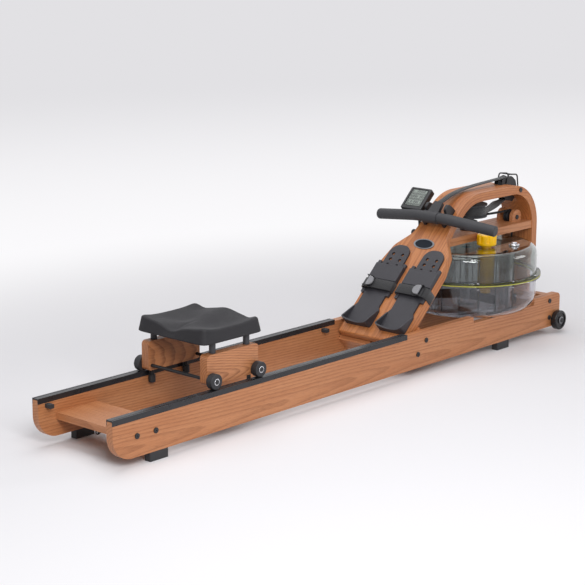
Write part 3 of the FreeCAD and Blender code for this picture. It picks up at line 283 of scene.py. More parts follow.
# ---------------------------------------------------------------- materials
def finish_wood(tree, shader, place, pale, mid, dark, heart, spacing, wander, tone=0.5, taper=0.03):
    """Colour, roughness and bump of oiled wood from the shared figure."""
    figure = place_group(tree, WOOD_FIGURE, Vector=place, Heart=heart, Ring_Spacing=spacing,
                         Wander=wander, Taper=taper)
    ground = blend_colors(tree, spread(tree, figure["Tone"], 0.3, 0.7), pale, mid)
    lined = blend_colors(tree, sums(tree, "MULTIPLY", figure["Rings"], tone), ground, dark)
    color = blend_colors(tree, sums(tree, "MULTIPLY", figure["Pores"], 0.45), lined, dark)
    feed(tree, shader.inputs["Base Color"], color)
    feed(tree, shader.inputs["Roughness"], spread(tree, figure["Rings"], 0.0, 1.0, 0.42, 0.55))
    bump(tree, shader, sums(tree, "SUBTRACT", 1.0, figure["Pores"]), 0.00012, 0.5)


def rail_wood(name, heart, turn=(0, 0, 0), spacing=0.0085, tone=0.34, taper=0.03):
    """Oiled oak for the rails and the carriage, with long cathedral figure."""
    material, tree, shader = new_material(name, rgb(185, 125, 85), 0.5)
    mapping = add_node(tree, "ShaderNodeMapping")
    mapping.inputs["Rotation"].default_value = turn
    feed(tree, mapping.inputs["Vector"], object_place(tree))
    finish_wood(tree, shader, mapping.outputs[0], rgb(190, 130, 87), rgb(172, 109, 66), rgb(104, 56, 30),
                heart, spacing, 0.022, tone, taper)
    return material


STRIP_WIDTH = 0.038


def bent_wood():
    """Laminated wood of the bent board.  The grain follows the bends: its length runs
    up X and then down the leg, and its depth is the distance below the outer face,
    the largest of the distances to the planes of the incline, the top and the leg.
    Strips are glued side by side and differ in tone."""
    material, tree, shader = new_material("bent_wood", rgb(200, 130, 80), 0.5)
    place = object_place(tree)
    parts = add_node(tree, "ShaderNodeSeparateXYZ")
    feed(tree, parts.inputs[0], place)
    x, y, z = parts.outputs
    raised = vector_sums(tree, "DOT_PRODUCT", place, tuple(ABOVE))
    incline = sums(tree, "SUBTRACT", raised, ABOVE.dot(BOARD_START))
    top = sums(tree, "SUBTRACT", z, HOOP_TOP)
    leg = sums(tree, "SUBTRACT", x, LEG_X)
    depth = sums(tree, "SMOOTH_MAX", sums(tree, "SMOOTH_MAX", incline, top, 0.06), leg, 0.06)
    on_leg = spread(tree, x, LEG_X - 0.15, LEG_X - 0.03)
    drop = sums(tree, "MULTIPLY", sums(tree, "SUBTRACT", HOOP_TOP, z), on_leg)
    length = sums(tree, "ADD", sums(tree, "MULTIPLY", x, 1.25), drop)
    strip = sums(tree, "FLOOR", sums(tree, "DIVIDE", sums(tree, "ADD", y, 1.0), STRIP_WIDTH))
    chance = add_node(tree, "ShaderNodeTexWhiteNoise", noise_dimensions="1D")
    feed(tree, chance.inputs["W"], strip)
    shift = chance.outputs["Value"]
    joined = add_node(tree, "ShaderNodeCombineXYZ")
    feed(tree, joined.inputs[0], sums(tree, "ADD", length, sums(tree, "MULTIPLY", shift, 3.0)))
    feed(tree, joined.inputs[1], sums(tree, "ADD", y, sums(tree, "MULTIPLY", shift, 0.21)))
    feed(tree, joined.inputs[2], depth)
    figure = place_group(tree, WOOD_FIGURE, Vector=joined.outputs[0], Heart=(0, 0.09, -0.10),
                         Ring_Spacing=0.0065, Wander=0.02, Taper=0.02)
    tone = spread(tree, figure["Tone"], 0.3, 0.7)
    ground = blend_colors(tree, tone, rgb(196, 131, 79), rgb(172, 104, 56))
    toned = blend_colors(tree, sums(tree, "MULTIPLY", shift, 0.45), ground, rgb(160, 92, 48))
    lined = blend_colors(tree, sums(tree, "MULTIPLY", figure["Rings"], 0.5), toned, rgb(120, 64, 32))
    color = blend_colors(tree, sums(tree, "MULTIPLY", figure["Pores"], 0.5), lined, rgb(100, 52, 28))
    feed(tree, shader.inputs["Base Color"], color)
    feed(tree, shader.inputs["Roughness"], spread(tree, figure["Rings"], 0.0, 1.0, 0.38, 0.5))
    bump(tree, shader, sums(tree, "SUBTRACT", 1.0, figure["Pores"]), 0.00012, 0.5)
    return material


def moulded(name, color, roughness, size=900.0, depth=0.00015, wear=0.3, worn=None, shine=0.4):
    """Moulded plastic or rubber: fine grain, faint marks and paler edges."""
    material, tree, shader = new_material(name, color, roughness, specular=shine)
    place = object_place(tree)
    grain = place_group(tree, SURFACE_GRAIN, Vector=place, Size=size)
    worn_edge = place_group(tree, EDGE_WEAR, Vector=place, Amount=wear)
    lighter = tuple(min(1.0, channel * 2.2 + 0.01) for channel in color[:3]) + (1.0,)
    marked = blend_colors(tree, spread(tree, grain["Marks"], 0.4, 0.75, 0.0, 0.22), color, lighter)
    feed(tree, shader.inputs["Base Color"], blend_colors(tree, worn_edge["Wear"], marked, worn or lighter))
    rough = spread(tree, grain["Marks"], 0.3, 0.7, roughness - 0.06, roughness + 0.08)
    feed(tree, shader.inputs["Roughness"], rough)
    bump(tree, shader, grain["Height"], depth, 0.6)
    return material


def metal(name, color, roughness, metallic=1.0):
    """Metal with faint brushed variation."""
    material, tree, shader = new_material(name, color, roughness, metallic)
    place = object_place(tree)
    streaks = noise(tree, vector_sums(tree, "MULTIPLY", place, (0.05, 1.0, 1.0)), 900.0, 2.0)
    rough = spread(tree, streaks, 0.3, 0.7, roughness - 0.05, roughness + 0.08)
    feed(tree, shader.inputs["Roughness"], rough)
    wear = place_group(tree, EDGE_WEAR, Vector=place, Amount=0.5)["Wear"]
    bright = tuple(min(1.0, channel + 0.12) for channel in color[:3]) + (1.0,)
    feed(tree, shader.inputs["Base Color"], blend_colors(tree, wear, color, bright))
    return material


def clear_plastic(name, color, roughness, clear=1.0):
    """Clear moulded plastic that lets light through to what is inside, with smears that
    change its roughness and a faint waviness.  A clear share below 1 makes it milky."""
    material, tree, shader = new_material(name, color, roughness)
    shader.inputs["Transmission Weight"].default_value = clear
    shader.inputs["IOR"].default_value = 1.45
    marks = place_group(tree, SURFACE_GRAIN, Vector=object_place(tree), Size=40.0)
    rough = spread(tree, marks["Marks"], 0.45, 0.8, roughness, roughness + 0.08)
    feed(tree, shader.inputs["Roughness"], rough)
    bump(tree, shader, marks["Marks"], 0.0004, 0.3)
    through = add_node(tree, "ShaderNodeBsdfTransparent")
    through.inputs["Color"].default_value = color
    path = add_node(tree, "ShaderNodeLightPath")
    mixed = add_node(tree, "ShaderNodeMixShader")
    feed(tree, mixed.inputs[0], path.outputs["Is Shadow Ray"])
    feed(tree, mixed.inputs[1], shader.outputs[0])
    feed(tree, mixed.inputs[2], through.outputs[0])
    feed(tree, tree.nodes["Material Output"].inputs["Surface"], mixed.outputs[0])
    return material


def webbing_material():
    """Black woven webbing, shown by its own UV in metres."""
    material, tree, shader = new_material("black_webbing", rgb(34, 34, 36), 0.8)
    uv = add_node(tree, "ShaderNodeTexCoord").outputs["UV"]
    weave = place_group(tree, WEAVE, Vector=uv, Pitch=0.0022)
    color = blend_colors(tree, weave["Height"], rgb(16, 16, 18), rgb(42, 42, 45))
    feed(tree, shader.inputs["Base Color"], color)
    shader.inputs["Sheen Weight"].default_value = 0.2
    bump(tree, shader, weave["Height"], 0.0004, 0.7)
    return material


def belt_material():
    """Woven belt on a CAD solid, patterned by object coordinates."""
    material, tree, shader = new_material("belt_weave", rgb(38, 38, 40), 0.75)
    weave = place_group(tree, WEAVE, Vector=object_place(tree), Pitch=0.003)
    color = blend_colors(tree, weave["Height"], rgb(30, 30, 32), rgb(62, 62, 66))
    feed(tree, shader.inputs["Base Color"], color)
    bump(tree, shader, weave["Height"], 0.0003, 0.6)
    return material


def badge_material():
    """An oval plate with a dark bare field inside a bright rim, worked out from the
    distance to the plate's middle in its own plane."""
    material, tree, shader = new_material("badge_plate", rgb(200, 200, 205), 0.25, 1.0)
    low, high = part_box("badge_plate")
    middle = (low + high) / 2
    offset = vector_sums(tree, "SUBTRACT", object_place(tree), tuple(middle))
    half_high = 0.020
    half_wide = 0.041
    along = sums(tree, "DIVIDE", vector_sums(tree, "DOT_PRODUCT", offset, tuple(ALONG)), half_high)
    across = sums(tree, "DIVIDE", vector_sums(tree, "DOT_PRODUCT", offset, (0.0, 1.0, 0.0)), half_wide)
    squares = [sums(tree, "POWER", share, 2.0) for share in (along, across)]
    reach = sums(tree, "SQRT", sums(tree, "ADD", *squares))
    field = spread(tree, reach, 0.86, 0.82)
    color = blend_colors(tree, field, rgb(112, 114, 118), rgb(34, 37, 43))
    feed(tree, shader.inputs["Base Color"], color)
    feed(tree, shader.inputs["Roughness"], spread(tree, field, 0.0, 1.0, 0.35, 0.45))
    bump(tree, shader, sums(tree, "SUBTRACT", 1.0, field), 0.0006, 0.8)
    return material


def paint(material, *names):
    """Gives a material to CAD nodes."""
    for name in names:
        mesh = nodes[name].data
        mesh.materials.clear()
        mesh.materials.append(material)


def paint_everything():
    """A detailed material for each CAD node but the seat pad, which the cushion's foam
    is given to below."""
    paint(rail_wood("left_rail_oak", (0.0, 0.13, 0.02)), "left_rail")
    paint(rail_wood("right_rail_oak", (0.013, -0.19, 0.055)), "right_rail")
    paint(rail_wood("cross_oak", (0.02, 0.0, 0.0), (0, 0, math.pi / 2)),
          "rear_cross_plank", "front_cross_board", "footboard_block")
    paint(rail_wood("carriage_oak", (0.0, -0.148, 0.172), spacing=0.0065, tone=0.62, taper=0.16),
          "carriage_panels")
    paint(bent_wood(), "bentwood_frame")
    paint(rail_wood("crossbar_oak", (0.05, 0.06, 0.30)), "crossbar", "pulley_ears")
    paint(moulded("anodised_cap", rgb(34, 34, 37), 0.28, 1400.0, 0.00003, 0.4), "rail_caps")
    paint(moulded("foot_rubber", rgb(46, 46, 48), 0.7), "rubber_pads", "stop_blocks")
    paint(moulded("black_steel", rgb(30, 30, 32), 0.42, 1200.0, 0.00005, 0.5, rgb(120, 120, 122)),
          "bolts", "pulley_axles", "pulley_brackets", "belt_guard", "cord_anchor", "carriage_axles",
          "handle_bar", "monitor_pivot")
    paint(clear_plastic("smoky_clear", (0.56, 0.59, 0.57, 1.0), 0.02), "tank_upper_bowl")
    paint(clear_plastic("smoky_base", (0.80, 0.80, 0.84, 1.0), 0.03), "tank_lower_bowl")
    paint(clear_plastic("inner_clear", (0.58, 0.60, 0.60, 1.0), 0.04), "inner_chamber")
    paint(moulded("gasket_rubber", rgb(168, 166, 62), 0.5), "tank_gasket")
    paint(clear_plastic("amber_tube", (1.0, 0.62, 0.03, 1.0), 0.15, 0.45), "valve_tube")
    paint(moulded("amber_knob", rgb(255, 196, 0), 0.3, 500.0, 0.0001, 0.1), "level_knob")
    paint(moulded("black_plastic", rgb(34, 34, 37), 0.45),
          "shaft_bearings", "belt_drum", "belt_pulley", "ear_pulley", "lower_pulley", "handle_yoke",
          "handle_rest", "strap_buckles", "monitor_arm")
    paint(metal("bright_steel", rgb(205, 205, 208), 0.2), "impeller_shaft")
    paint(moulded("seat_post_plastic", rgb(50, 50, 54), 0.5), "seat_posts")
    paint(moulded("blade_plastic", rgb(40, 42, 46), 0.35), "impeller")
    paint(belt_material(), "pull_strap", "drum_strap")
    paint(moulded("cord_cover", rgb(30, 30, 31), 0.7, 1500.0, 0.0004), "bungee_cord")
    paint(moulded("grip_rubber", rgb(50, 50, 53), 0.55, 1100.0, 0.0003), "handle_grips")
    paint(moulded("foot_rest_plastic", rgb(50, 49, 54), 0.5, 800.0, 0.0003),
          "footrest_covers", "left_heel_slider", "right_heel_slider")
    paint(moulded("monitor_black", rgb(30, 30, 32), 0.32, 1200.0, 0.00005), "monitor_case")
    paint(webbing_material(), "foot_straps")
    paint(moulded("tab_plastic", rgb(128, 128, 132), 0.45), "left_buckle_lever", "right_buckle_lever")
    paint(badge_material(), "badge_plate")
    paint(moulded("wheel_rubber", rgb(38, 38, 41), 0.55), "front_seat_wheels", "rear_seat_wheels")
    paint(moulded("glossy_tyre", rgb(20, 20, 22), 0.2, 900.0, 0.00003), "left_transport_wheel",
          "right_transport_wheel")
    paint(moulded("roller_plastic", rgb(32, 32, 34), 0.45),
          "front_left_guide_roller", "front_right_guide_roller", "rear_left_guide_roller",
          "rear_right_guide_roller")


# ---------------------------------------------------------------- mesh helpers
def new_piece(name, points, faces, material, uv=None, smooth=True):
    """A mesh object from points, faces and one material; uv is a value for each point."""
    mesh = bpy.data.meshes.new(name)
    mesh.from_pydata(points.tolist(), [], faces)
    mesh.materials.append(material)
    mesh.polygons.foreach_set("use_smooth", np.full(len(mesh.polygons), smooth))
    if uv is not None:
        order = np.empty(len(mesh.loops), dtype=np.int32)
        mesh.loops.foreach_get("vertex_index", order)
        layer = mesh.uv_layers.new(name="cloth")
        layer.data.foreach_set("uv", uv[order].astype(np.float32).ravel())
    mesh.update()
    obj = bpy.data.objects.new(name, mesh)
    bpy.context.scene.collection.objects.link(obj)
    return obj


def skin(rings):
    """Points and faces of a tube through rings of points, an array of rows by ring
    points by 3.  A middle point closes each end."""
    rows, count, _ = rings.shape
    points = np.concatenate([rings.reshape(-1, 3), rings[0].mean(0)[None], rings[-1].mean(0)[None]])
    index = np.arange(rows * count).reshape(rows, count)
    after = np.roll(index, -1, axis=1)
    quads = np.stack([index[:-1], after[:-1], after[1:], index[1:]], axis=-1).reshape(-1, 4)
    first = np.stack([np.full(count, rows * count), after[0], index[0]], axis=-1)
    last = np.stack([np.full(count, rows * count + 1), index[-1], after[-1]], axis=-1)
    return points, quads.tolist() + first.tolist() + last.tolist()


def turned_rings(profile, centre, axis, side, count=48):
    """Rings round an axis from (distance along it, radius) pairs."""
    axis = np.array(axis, dtype=float)
    side = np.array(side, dtype=float)
    other = np.cross(axis, side)
    angle = np.linspace(0, 2 * np.pi, count, endpoint=False)
    around = np.cos(angle)[:, None] * side + np.sin(angle)[:, None] * other
    profile = np.array(profile)
    return np.array(centre) + profile[:, 0, None, None] * axis + profile[:, 1, None, None] * around


def rounded_path(corners, rounds=5, share=0.22):
    """A path with its corners cut again and again at a share of each run."""
    path = np.array(corners, dtype=float)
    for _ in range(rounds):
        ahead = path[:-1] + (path[1:] - path[:-1]) * share
        behind = path[:-1] + (path[1:] - path[:-1]) * (1 - share)
        middle = np.stack([ahead, behind], axis=1).reshape(-1, path.shape[1])
        path = np.concatenate([path[:1], middle, path[-1:]])
    return path


def even_path(path, step):
    """The same path with points an even step apart."""
    gaps = np.linalg.norm(np.diff(path, axis=0), axis=1)
    along = np.concatenate([[0], np.cumsum(gaps)])
    wanted = np.linspace(0, along[-1], max(3, int(along[-1] / step)))
    return np.stack([np.interp(wanted, along, path[:, axis]) for axis in range(3)], axis=1)


def webbing_band(name, path, across, width, thickness, material):
    """A flat band along a path.  Its section is a rectangle with rounded corners, set
    out by the direction across the band and the normal to both; UV runs in metres."""
    tangent = np.gradient(path, axis=0)
    tangent /= np.linalg.norm(tangent, axis=1)[:, None]
    across = np.broadcast_to(np.array(across, dtype=float), path.shape)
    across = across - (across * tangent).sum(1)[:, None] * tangent
    across = across / np.linalg.norm(across, axis=1)[:, None]
    normal = np.cross(tangent, across)
    w, t, c = width / 2, thickness / 2, thickness / 4
    shape = np.array([(-w, -t + c), (-w + c, -t), (0, -t), (w - c, -t), (w, -t + c),
                      (w, t - c), (w - c, t), (0, t), (-w + c, t), (-w, t - c)])
    sideways = shape[None, :, 0, None] * across[:, None]
    outward = shape[None, :, 1, None] * normal[:, None]
    points, faces = skin(path[:, None] + sideways + outward)
    gaps = np.linalg.norm(np.diff(path, axis=0), axis=1)
    along = np.concatenate([[0], np.cumsum(gaps)])
    uv = np.stack([np.broadcast_to(shape[:, 0], (len(path), len(shape))),
                   np.broadcast_to(along[:, None], (len(path), len(shape)))], axis=-1).reshape(-1, 2)
    uv = np.concatenate([uv, [[0, 0], [0, along[-1]]]])
    return new_piece(name, points, faces, material, uv)


def joined_skins(name, parts, material, smooth=True):
    """One mesh from several closed skins."""
    points = []
    faces = []
    start = 0
    for part_points, part_faces in parts:
        points.append(part_points)
        faces += [[index + start for index in face] for face in part_faces]
        start += len(part_points)
    return new_piece(name, np.concatenate(points), faces, material, smooth=smooth)


# ---------------------------------------------------------------- the seat
SEAT_TOP = 0.0385              # above the base, before the hollows and rises
SEAT_POWER = 13.0              # how square the seat's plan is


def seat_height(x, y):
    """Height of the seat's top over its base, with x to the front and y to the left,
    each from -1 to 1.  A pommel rises at the front in the middle, a hollow lies under
    each sit bone, the front falls away under each thigh, the rear edge is scooped and
    creased in the middle, and the corners turn up."""
    pommel = 0.0105 * np.exp(-((y / 0.34) ** 2) - ((x - 1.0) / 0.62) ** 2)
    hollows = -0.0125 * (np.exp(-((x + 0.12) / 0.52) ** 2 - ((y - 0.44) / 0.36) ** 2)
                         + np.exp(-((x + 0.12) / 0.52) ** 2 - ((y + 0.44) / 0.36) ** 2))
    both_thighs = np.exp(-((y - 0.72) / 0.2) ** 2) + np.exp(-((y + 0.72) / 0.2) ** 2)
    thighs = -0.0060 * both_thighs * (0.5 + 0.5 * x)
    scoop = -0.0175 * np.exp(-((y / 0.30) ** 2) - ((x + 1.0) / 0.42) ** 2)
    crease = -0.0030 * np.exp(-((y / 0.05) ** 2) - ((x + 0.55) / 0.34) ** 2)
    corners = 0.0100 * x ** 4 * y ** 4
    return SEAT_TOP + pommel + hollows + thighs + scoop + crease + corners


def seat_cushion(material):
    """The foam seat.  Its plan is a rounded square, |x|^13 + |y|^13 = 1; rings of that
    plan grow from the middle of the top, roll over a soft edge, run down a wall that
    widens to the base, and close underneath."""
    low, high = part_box("seat_pad")
    middle = (low + high) / 2
    half_x = (high.x - low.x) / 2
    half_y = (high.y - low.y) / 2
    count = 220
    angle = np.linspace(0, 2 * np.pi, count, endpoint=False)
    corner = np.abs(np.cos(angle)) ** SEAT_POWER + np.abs(np.sin(angle)) ** SEAT_POWER
    reach = corner ** (-1 / SEAT_POWER)
    plan_x = np.cos(angle) * reach
    plan_y = np.sin(angle) * reach
    lean = 0.006
    roll = 0.007
    rings = []
    for grow in np.linspace(0.02, 1.0, 60):
        x = plan_x * grow * (half_x - lean - roll)
        y = plan_y * grow * (half_y - lean - roll)
        z = seat_height(plan_x * grow, plan_y * grow)
        rings.append(np.stack([x, y, z], axis=-1))
    edge_z = seat_height(plan_x, plan_y)
    for turn in np.linspace(0.2, 1.0, 6) * np.pi / 2:
        x = plan_x * (half_x - lean - roll + roll * np.sin(turn))
        y = plan_y * (half_y - lean - roll + roll * np.sin(turn))
        rings.append(np.stack([x, y, edge_z - roll * (1 - np.cos(turn))], axis=-1))
    for share in np.linspace(0.12, 0.94, 12):
        x = plan_x * (half_x - lean + lean * share)
        y = plan_y * (half_y - lean + lean * share)
        rings.append(np.stack([x, y, (edge_z - roll) * (1 - share) + 0.003 * share], axis=-1))
    for inset, rise in ((0.0, 0.0018), (0.0012, 0.0004), (0.004, 0.0), (0.05, 0.0), (0.1, 0.0)):
        x = plan_x * (half_x - inset)
        y = plan_y * (half_y - inset)
        rings.append(np.stack([x, y, np.full(count, rise)], axis=-1))
    rings = np.array(rings) + np.array([middle.x, middle.y, low.z])
    points, faces = skin(rings[::-1])
    cushion = new_piece("seat_cushion", points, faces, material)
    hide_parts("seat_pad")
    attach(cushion, "seat")


# ---------------------------------------------------------------- webbing
WEBBING_THICKNESS = 0.0022
STRAP_MIDDLE = 0.190           # up the footboard
STRAP_WIDTH = 0.036
STRAP_LEVEL = 0.0205           # of the strap's run over the foot rest, above the board
STRAP_INNER = 0.0098           # from the board's middle line
STRAP_OUTER = 0.1315
STRAP_DOWN = -0.0245           # where it ends on the board's side edge
BELT_WIDTH = 0.025
BELT_LAP = 0.0388              # from the pulley's axis to the belt's middle
DRUM_LAP = 0.0595              # from the drum's axis to the belt's middle
DRUM_LAP_TURN = 2.2            # radians of belt seen on the drum
DRUM_BELT_Z = 0.4565


def foot_webbing(material):
    """Two straps, each up from the middle of the footboard, flat across the foot rest
    and down round the board's side edge."""
    bands = []
    for side in (1, -1):
        turns = [(STRAP_INNER, 0.001), (STRAP_INNER, STRAP_LEVEL),
                 (STRAP_OUTER, STRAP_LEVEL), (STRAP_OUTER, STRAP_DOWN)]
        corners = [board_point(STRAP_MIDDLE, side * y, h) for y, h in turns]
        path = even_path(rounded_path(corners, 5, 0.12), 0.002)
        name = "foot_webbing_left" if side > 0 else "foot_webbing_right"
        bands.append(webbing_band(name, path, ALONG, STRAP_WIDTH, WEBBING_THICKNESS, material))
    for band in bands:
        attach(band, "frame")
    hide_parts("foot_straps")


def drive_belts(material):
    """The belt from the handle up the neck to the pulley, the turn round the pulley,
    and the twisted run from there on to the drum."""
    pulley_low, pulley_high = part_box("belt_pulley")
    drum_low, drum_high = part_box("belt_drum")
    axle_x = (pulley_low.x + pulley_high.x) / 2
    axle_z = (pulley_low.z + pulley_high.z) / 2
    start = board_point(0.529, 0, 0.0385)
    bend = Vector((LEG_X - HOOP_LENGTH + 0.020, 0, HOOP_TOP + 0.0105))
    top = Vector((axle_x - 0.001, 0, axle_z + BELT_LAP))
    path = even_path(rounded_path([start, bend, top], 5, 0.25), 0.004)
    belt = webbing_band("handle_belt", path, (0, 1, 0), BELT_WIDTH, WEBBING_THICKNESS, material)
    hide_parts("pull_strap")
    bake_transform(belt)
    angle = np.linspace(np.pi / 2, -np.pi / 2, 30)
    turn = np.stack([axle_x + BELT_LAP * np.cos(angle), 0 * angle, axle_z + BELT_LAP * np.sin(angle)], axis=1)
    drum_x = (drum_low.x + drum_high.x) / 2
    leave = turn[-1] - np.array([0.018, 0, 0])
    touch = math.acos(DRUM_LAP / (leave[0] - drum_x))
    meet_x = drum_x + DRUM_LAP * math.cos(touch)
    meet = np.array([meet_x, -DRUM_LAP * math.sin(touch), DRUM_BELT_Z])
    share = np.linspace(0, 1, 40)[:, None]
    run = leave + (meet - leave) * share
    wrap = np.linspace(-touch, -touch - DRUM_LAP_TURN, 24)[1:]
    lapped_x = drum_x + DRUM_LAP * np.cos(wrap)
    lapped = np.stack([lapped_x, DRUM_LAP * np.sin(wrap), np.full(len(wrap), DRUM_BELT_Z)], axis=1)
    path = np.concatenate([turn, run, lapped])
    done = np.clip((np.arange(len(path)) - len(turn)) / (len(run) * 0.85), 0, 1)
    twist = (3 * done ** 2 - 2 * done ** 3) * np.pi / 2
    across = np.stack([0 * twist, np.cos(twist), np.sin(twist)], axis=1)
    twisted = webbing_band("drum_belt", path, across, BELT_WIDTH, WEBBING_THICKNESS, material)
    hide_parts("drum_strap")
    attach(twisted, "frame")


# ---------------------------------------------------------------- small fittings
def washer(centre, axis, inner, outer, height):
    """A flat ring with rounded edges, turned round an axis."""
    side = (1, 0, 0) if abs(axis[0]) < 0.5 else (0, 0, 1)
    edge = min(height, outer - inner) / 4
    profile = [(0, inner), (0, outer), (height - edge, outer), (height, outer - edge),
               (height, inner + edge), (height - edge, inner), (0, inner)]
    rings = turned_rings(profile, centre, axis, side)
    points = rings[:-1].reshape(-1, 3)
    rows, count, _ = rings[:-1].shape
    index = np.arange(rows * count).reshape(rows, count)
    after = np.roll(index, -1, axis=1)
    down = np.roll(index, -1, axis=0)
    both = np.roll(down, -1, axis=1)
    return points, np.stack([index, after, both, down], axis=-1).reshape(-1, 4).tolist()


def button(centre, axis, radius, height, dome=0.3):
    """A low domed head, turned round an axis."""
    side = (1, 0, 0) if abs(axis[0]) < 0.5 else (0, 0, 1)
    share = np.linspace(0, 1, 8)
    profile = [(0.0, radius * 0.5), (0.0, radius), (height * (1 - dome), radius)]
    profile += [(height * (1 - dome) + height * dome * math.sin(step * math.pi / 2),
                 radius * (0.55 + 0.45 * math.cos(step * math.pi / 2))) for step in share[1:]]
    return skin(turned_rings(profile, centre, axis, side))


def wheel_bearings(material, hub):
    """A bright bearing ring on the outer face of each seat wheel, and a grey hub on each
    transport wheel."""
    for body, node in (("front_wheels", "front_seat_wheels"), ("rear_wheels", "rear_seat_wheels")):
        low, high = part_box(node)
        x = (low.x + high.x) / 2
        z = (low.z + high.z) / 2
        rings = [washer((x, high.y - 0.0002, z), (0, 1, 0), 0.0070, 0.0098, 0.0012),
                 washer((x, low.y + 0.0002, z), (0, -1, 0), 0.0070, 0.0098, 0.0012)]
        piece = joined_skins(node + "_bearings", rings, material)
        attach(piece, body)
    for hand, way in (("left", 1), ("right", -1)):
        low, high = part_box(hand + "_transport_wheel")
        face = high.y if way > 0 else low.y
        x = (low.x + high.x) / 2
        z = (low.z + high.z) / 2
        rings = [washer((x, face - way * 0.0002, z), (0, way, 0), 0.0040, 0.0125, 0.0015)]
        piece = joined_skins(hand + "_wheel_hub", rings, hub)
        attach(piece, hand + "_transport")


def tank_screws(material):
    """A bright screw head on top of the flange at each hole, and its end below."""
    count = 12
    flange = 0.005
    low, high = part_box("tank_upper_bowl")
    gasket_low, gasket_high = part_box("tank_gasket")
    x = (low.x + high.x) / 2
    reach = (high.x - low.x) / 2 - 0.007
    parts = []
    for turn in range(count):
        angle = math.radians((turn + 0.5) * 360 / count)
        screw_x = x + reach * math.cos(angle)
        screw_y = reach * math.sin(angle)
        parts.append(button((screw_x, screw_y, gasket_high.z + flange), (0, 0, 1), 0.0045, 0.004))
        parts.append(button((screw_x, screw_y, gasket_low.z - flange), (0, 0, -1), 0.004, 0.006))
    piece = joined_skins("tank_screws", parts, material)
    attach(piece, "frame")


def amber_sleeve(material):
    """A wide amber tube inside the tank, under the knob and round the valve's tube."""
    low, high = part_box("level_knob")
    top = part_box("tank_upper_bowl")[1].z - 0.006
    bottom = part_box("impeller")[1].z + 0.004
    x = (low.x + high.x) / 2
    y = (low.y + high.y) / 2
    tube = washer((x, y, bottom), (0, 0, 1), 0.0262, 0.0280, top - bottom)
    piece = joined_skins("amber_sleeve", [tube], material)
    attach(piece, "frame")


def chamber_ribs(material):
    """Thin upright ribs on the outside of the inner ring wall, and a hoop at its top."""
    low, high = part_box("inner_chamber")
    x = (low.x + high.x) / 2
    radius = (high.x - low.x) / 2
    count = 16
    reach = radius + 0.0022
    parts = [washer((x, 0, high.z + 0.0005), (0, 0, 1), radius - 0.005, radius + 0.002, 0.005)]
    for turn in range(count):
        angle = math.radians(turn * 360 / count + 6)
        at = (x + reach * math.cos(angle), reach * math.sin(angle), low.z)
        parts.append(button(at, (0, 0, 1), 0.0018, high.z - low.z, 0.01))
    piece = joined_skins("chamber_ribs", parts, material)
    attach(piece, "frame")


def tank_fitting(material):
    """The filler's cap on top of the tank: a knurled ring with a domed plug."""
    low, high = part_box("tank_upper_bowl")
    x = (low.x + high.x) / 2 + 0.060
    y = -0.150
    parts = [washer((x, y, high.z - 0.0002), (0, 0, 1), 0.009, 0.018, 0.006),
             button((x, y, high.z + 0.004), (0, 0, 1), 0.0088, 0.008)]
    piece = joined_skins("filler_cap", parts, material)
    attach(piece, "frame")


def monitor_screen(material):
    """The display inside the monitor's bezel, with UV from 0 to 1 across it."""
    level = 0.0328
    thickness = 0.0008
    half_high = 0.0325
    half_wide = 0.0300
    centre_along = 0.539
    centre_y = 0.106
    points = []
    uv = []
    for above in (level - thickness, level):
        for along, across in ((-1, -1), (1, -1), (1, 1), (-1, 1)):
            place = board_point(centre_along + along * half_high, centre_y + across * half_wide, above)
            points.append(tuple(place))
            uv.append(((1 - across) / 2, (along + 1) / 2))
    faces = [(0, 3, 2, 1), (4, 5, 6, 7), (0, 1, 5, 4), (1, 2, 6, 5), (2, 3, 7, 6), (3, 0, 4, 7)]
    piece = new_piece("monitor_screen", np.array(points), faces, material, np.array(uv), smooth=False)
    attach(piece, "monitor")


def screen_material():
    """A grey-green display: rows of dark digit-like cells, some of them blank, set out by
    the screen's UV."""
    material, tree, shader = new_material("display", rgb(104, 114, 108), 0.18)
    uv = add_node(tree, "ShaderNodeTexCoord").outputs["UV"]
    cells = vector_sums(tree, "MULTIPLY", uv, (9.0, 6.0, 1.0))
    parts = add_node(tree, "ShaderNodeSeparateXYZ")
    feed(tree, parts.inputs[0], cells)
    across = sums(tree, "ABSOLUTE", sums(tree, "SUBTRACT", sums(tree, "FRACT", parts.outputs[0]), 0.5))
    along = sums(tree, "ABSOLUTE", sums(tree, "SUBTRACT", sums(tree, "FRACT", parts.outputs[1]), 0.5))
    edge = sums(tree, "MAXIMUM", across, along)
    outline = sums(tree, "MULTIPLY", spread(tree, edge, 0.18, 0.24), spread(tree, edge, 0.42, 0.36))
    middle_bar = sums(tree, "MULTIPLY", spread(tree, along, 0.07, 0.04), spread(tree, across, 0.36, 0.32))
    shapes = sums(tree, "MAXIMUM", outline, middle_bar)
    cell_place = vector_sums(tree, "SNAP", uv, (0.1111, 0.1667, 1.0))
    lit = spread(tree, noise(tree, cell_place, 9.0, 0.0), 0.36, 0.44)
    digits = sums(tree, "MULTIPLY", shapes, lit)
    color = blend_colors(tree, digits, rgb(122, 131, 124), rgb(14, 17, 16))
    feed(tree, shader.inputs["Base Color"], color)
    bump(tree, shader, digits, 0.0001, 0.2)
    return material


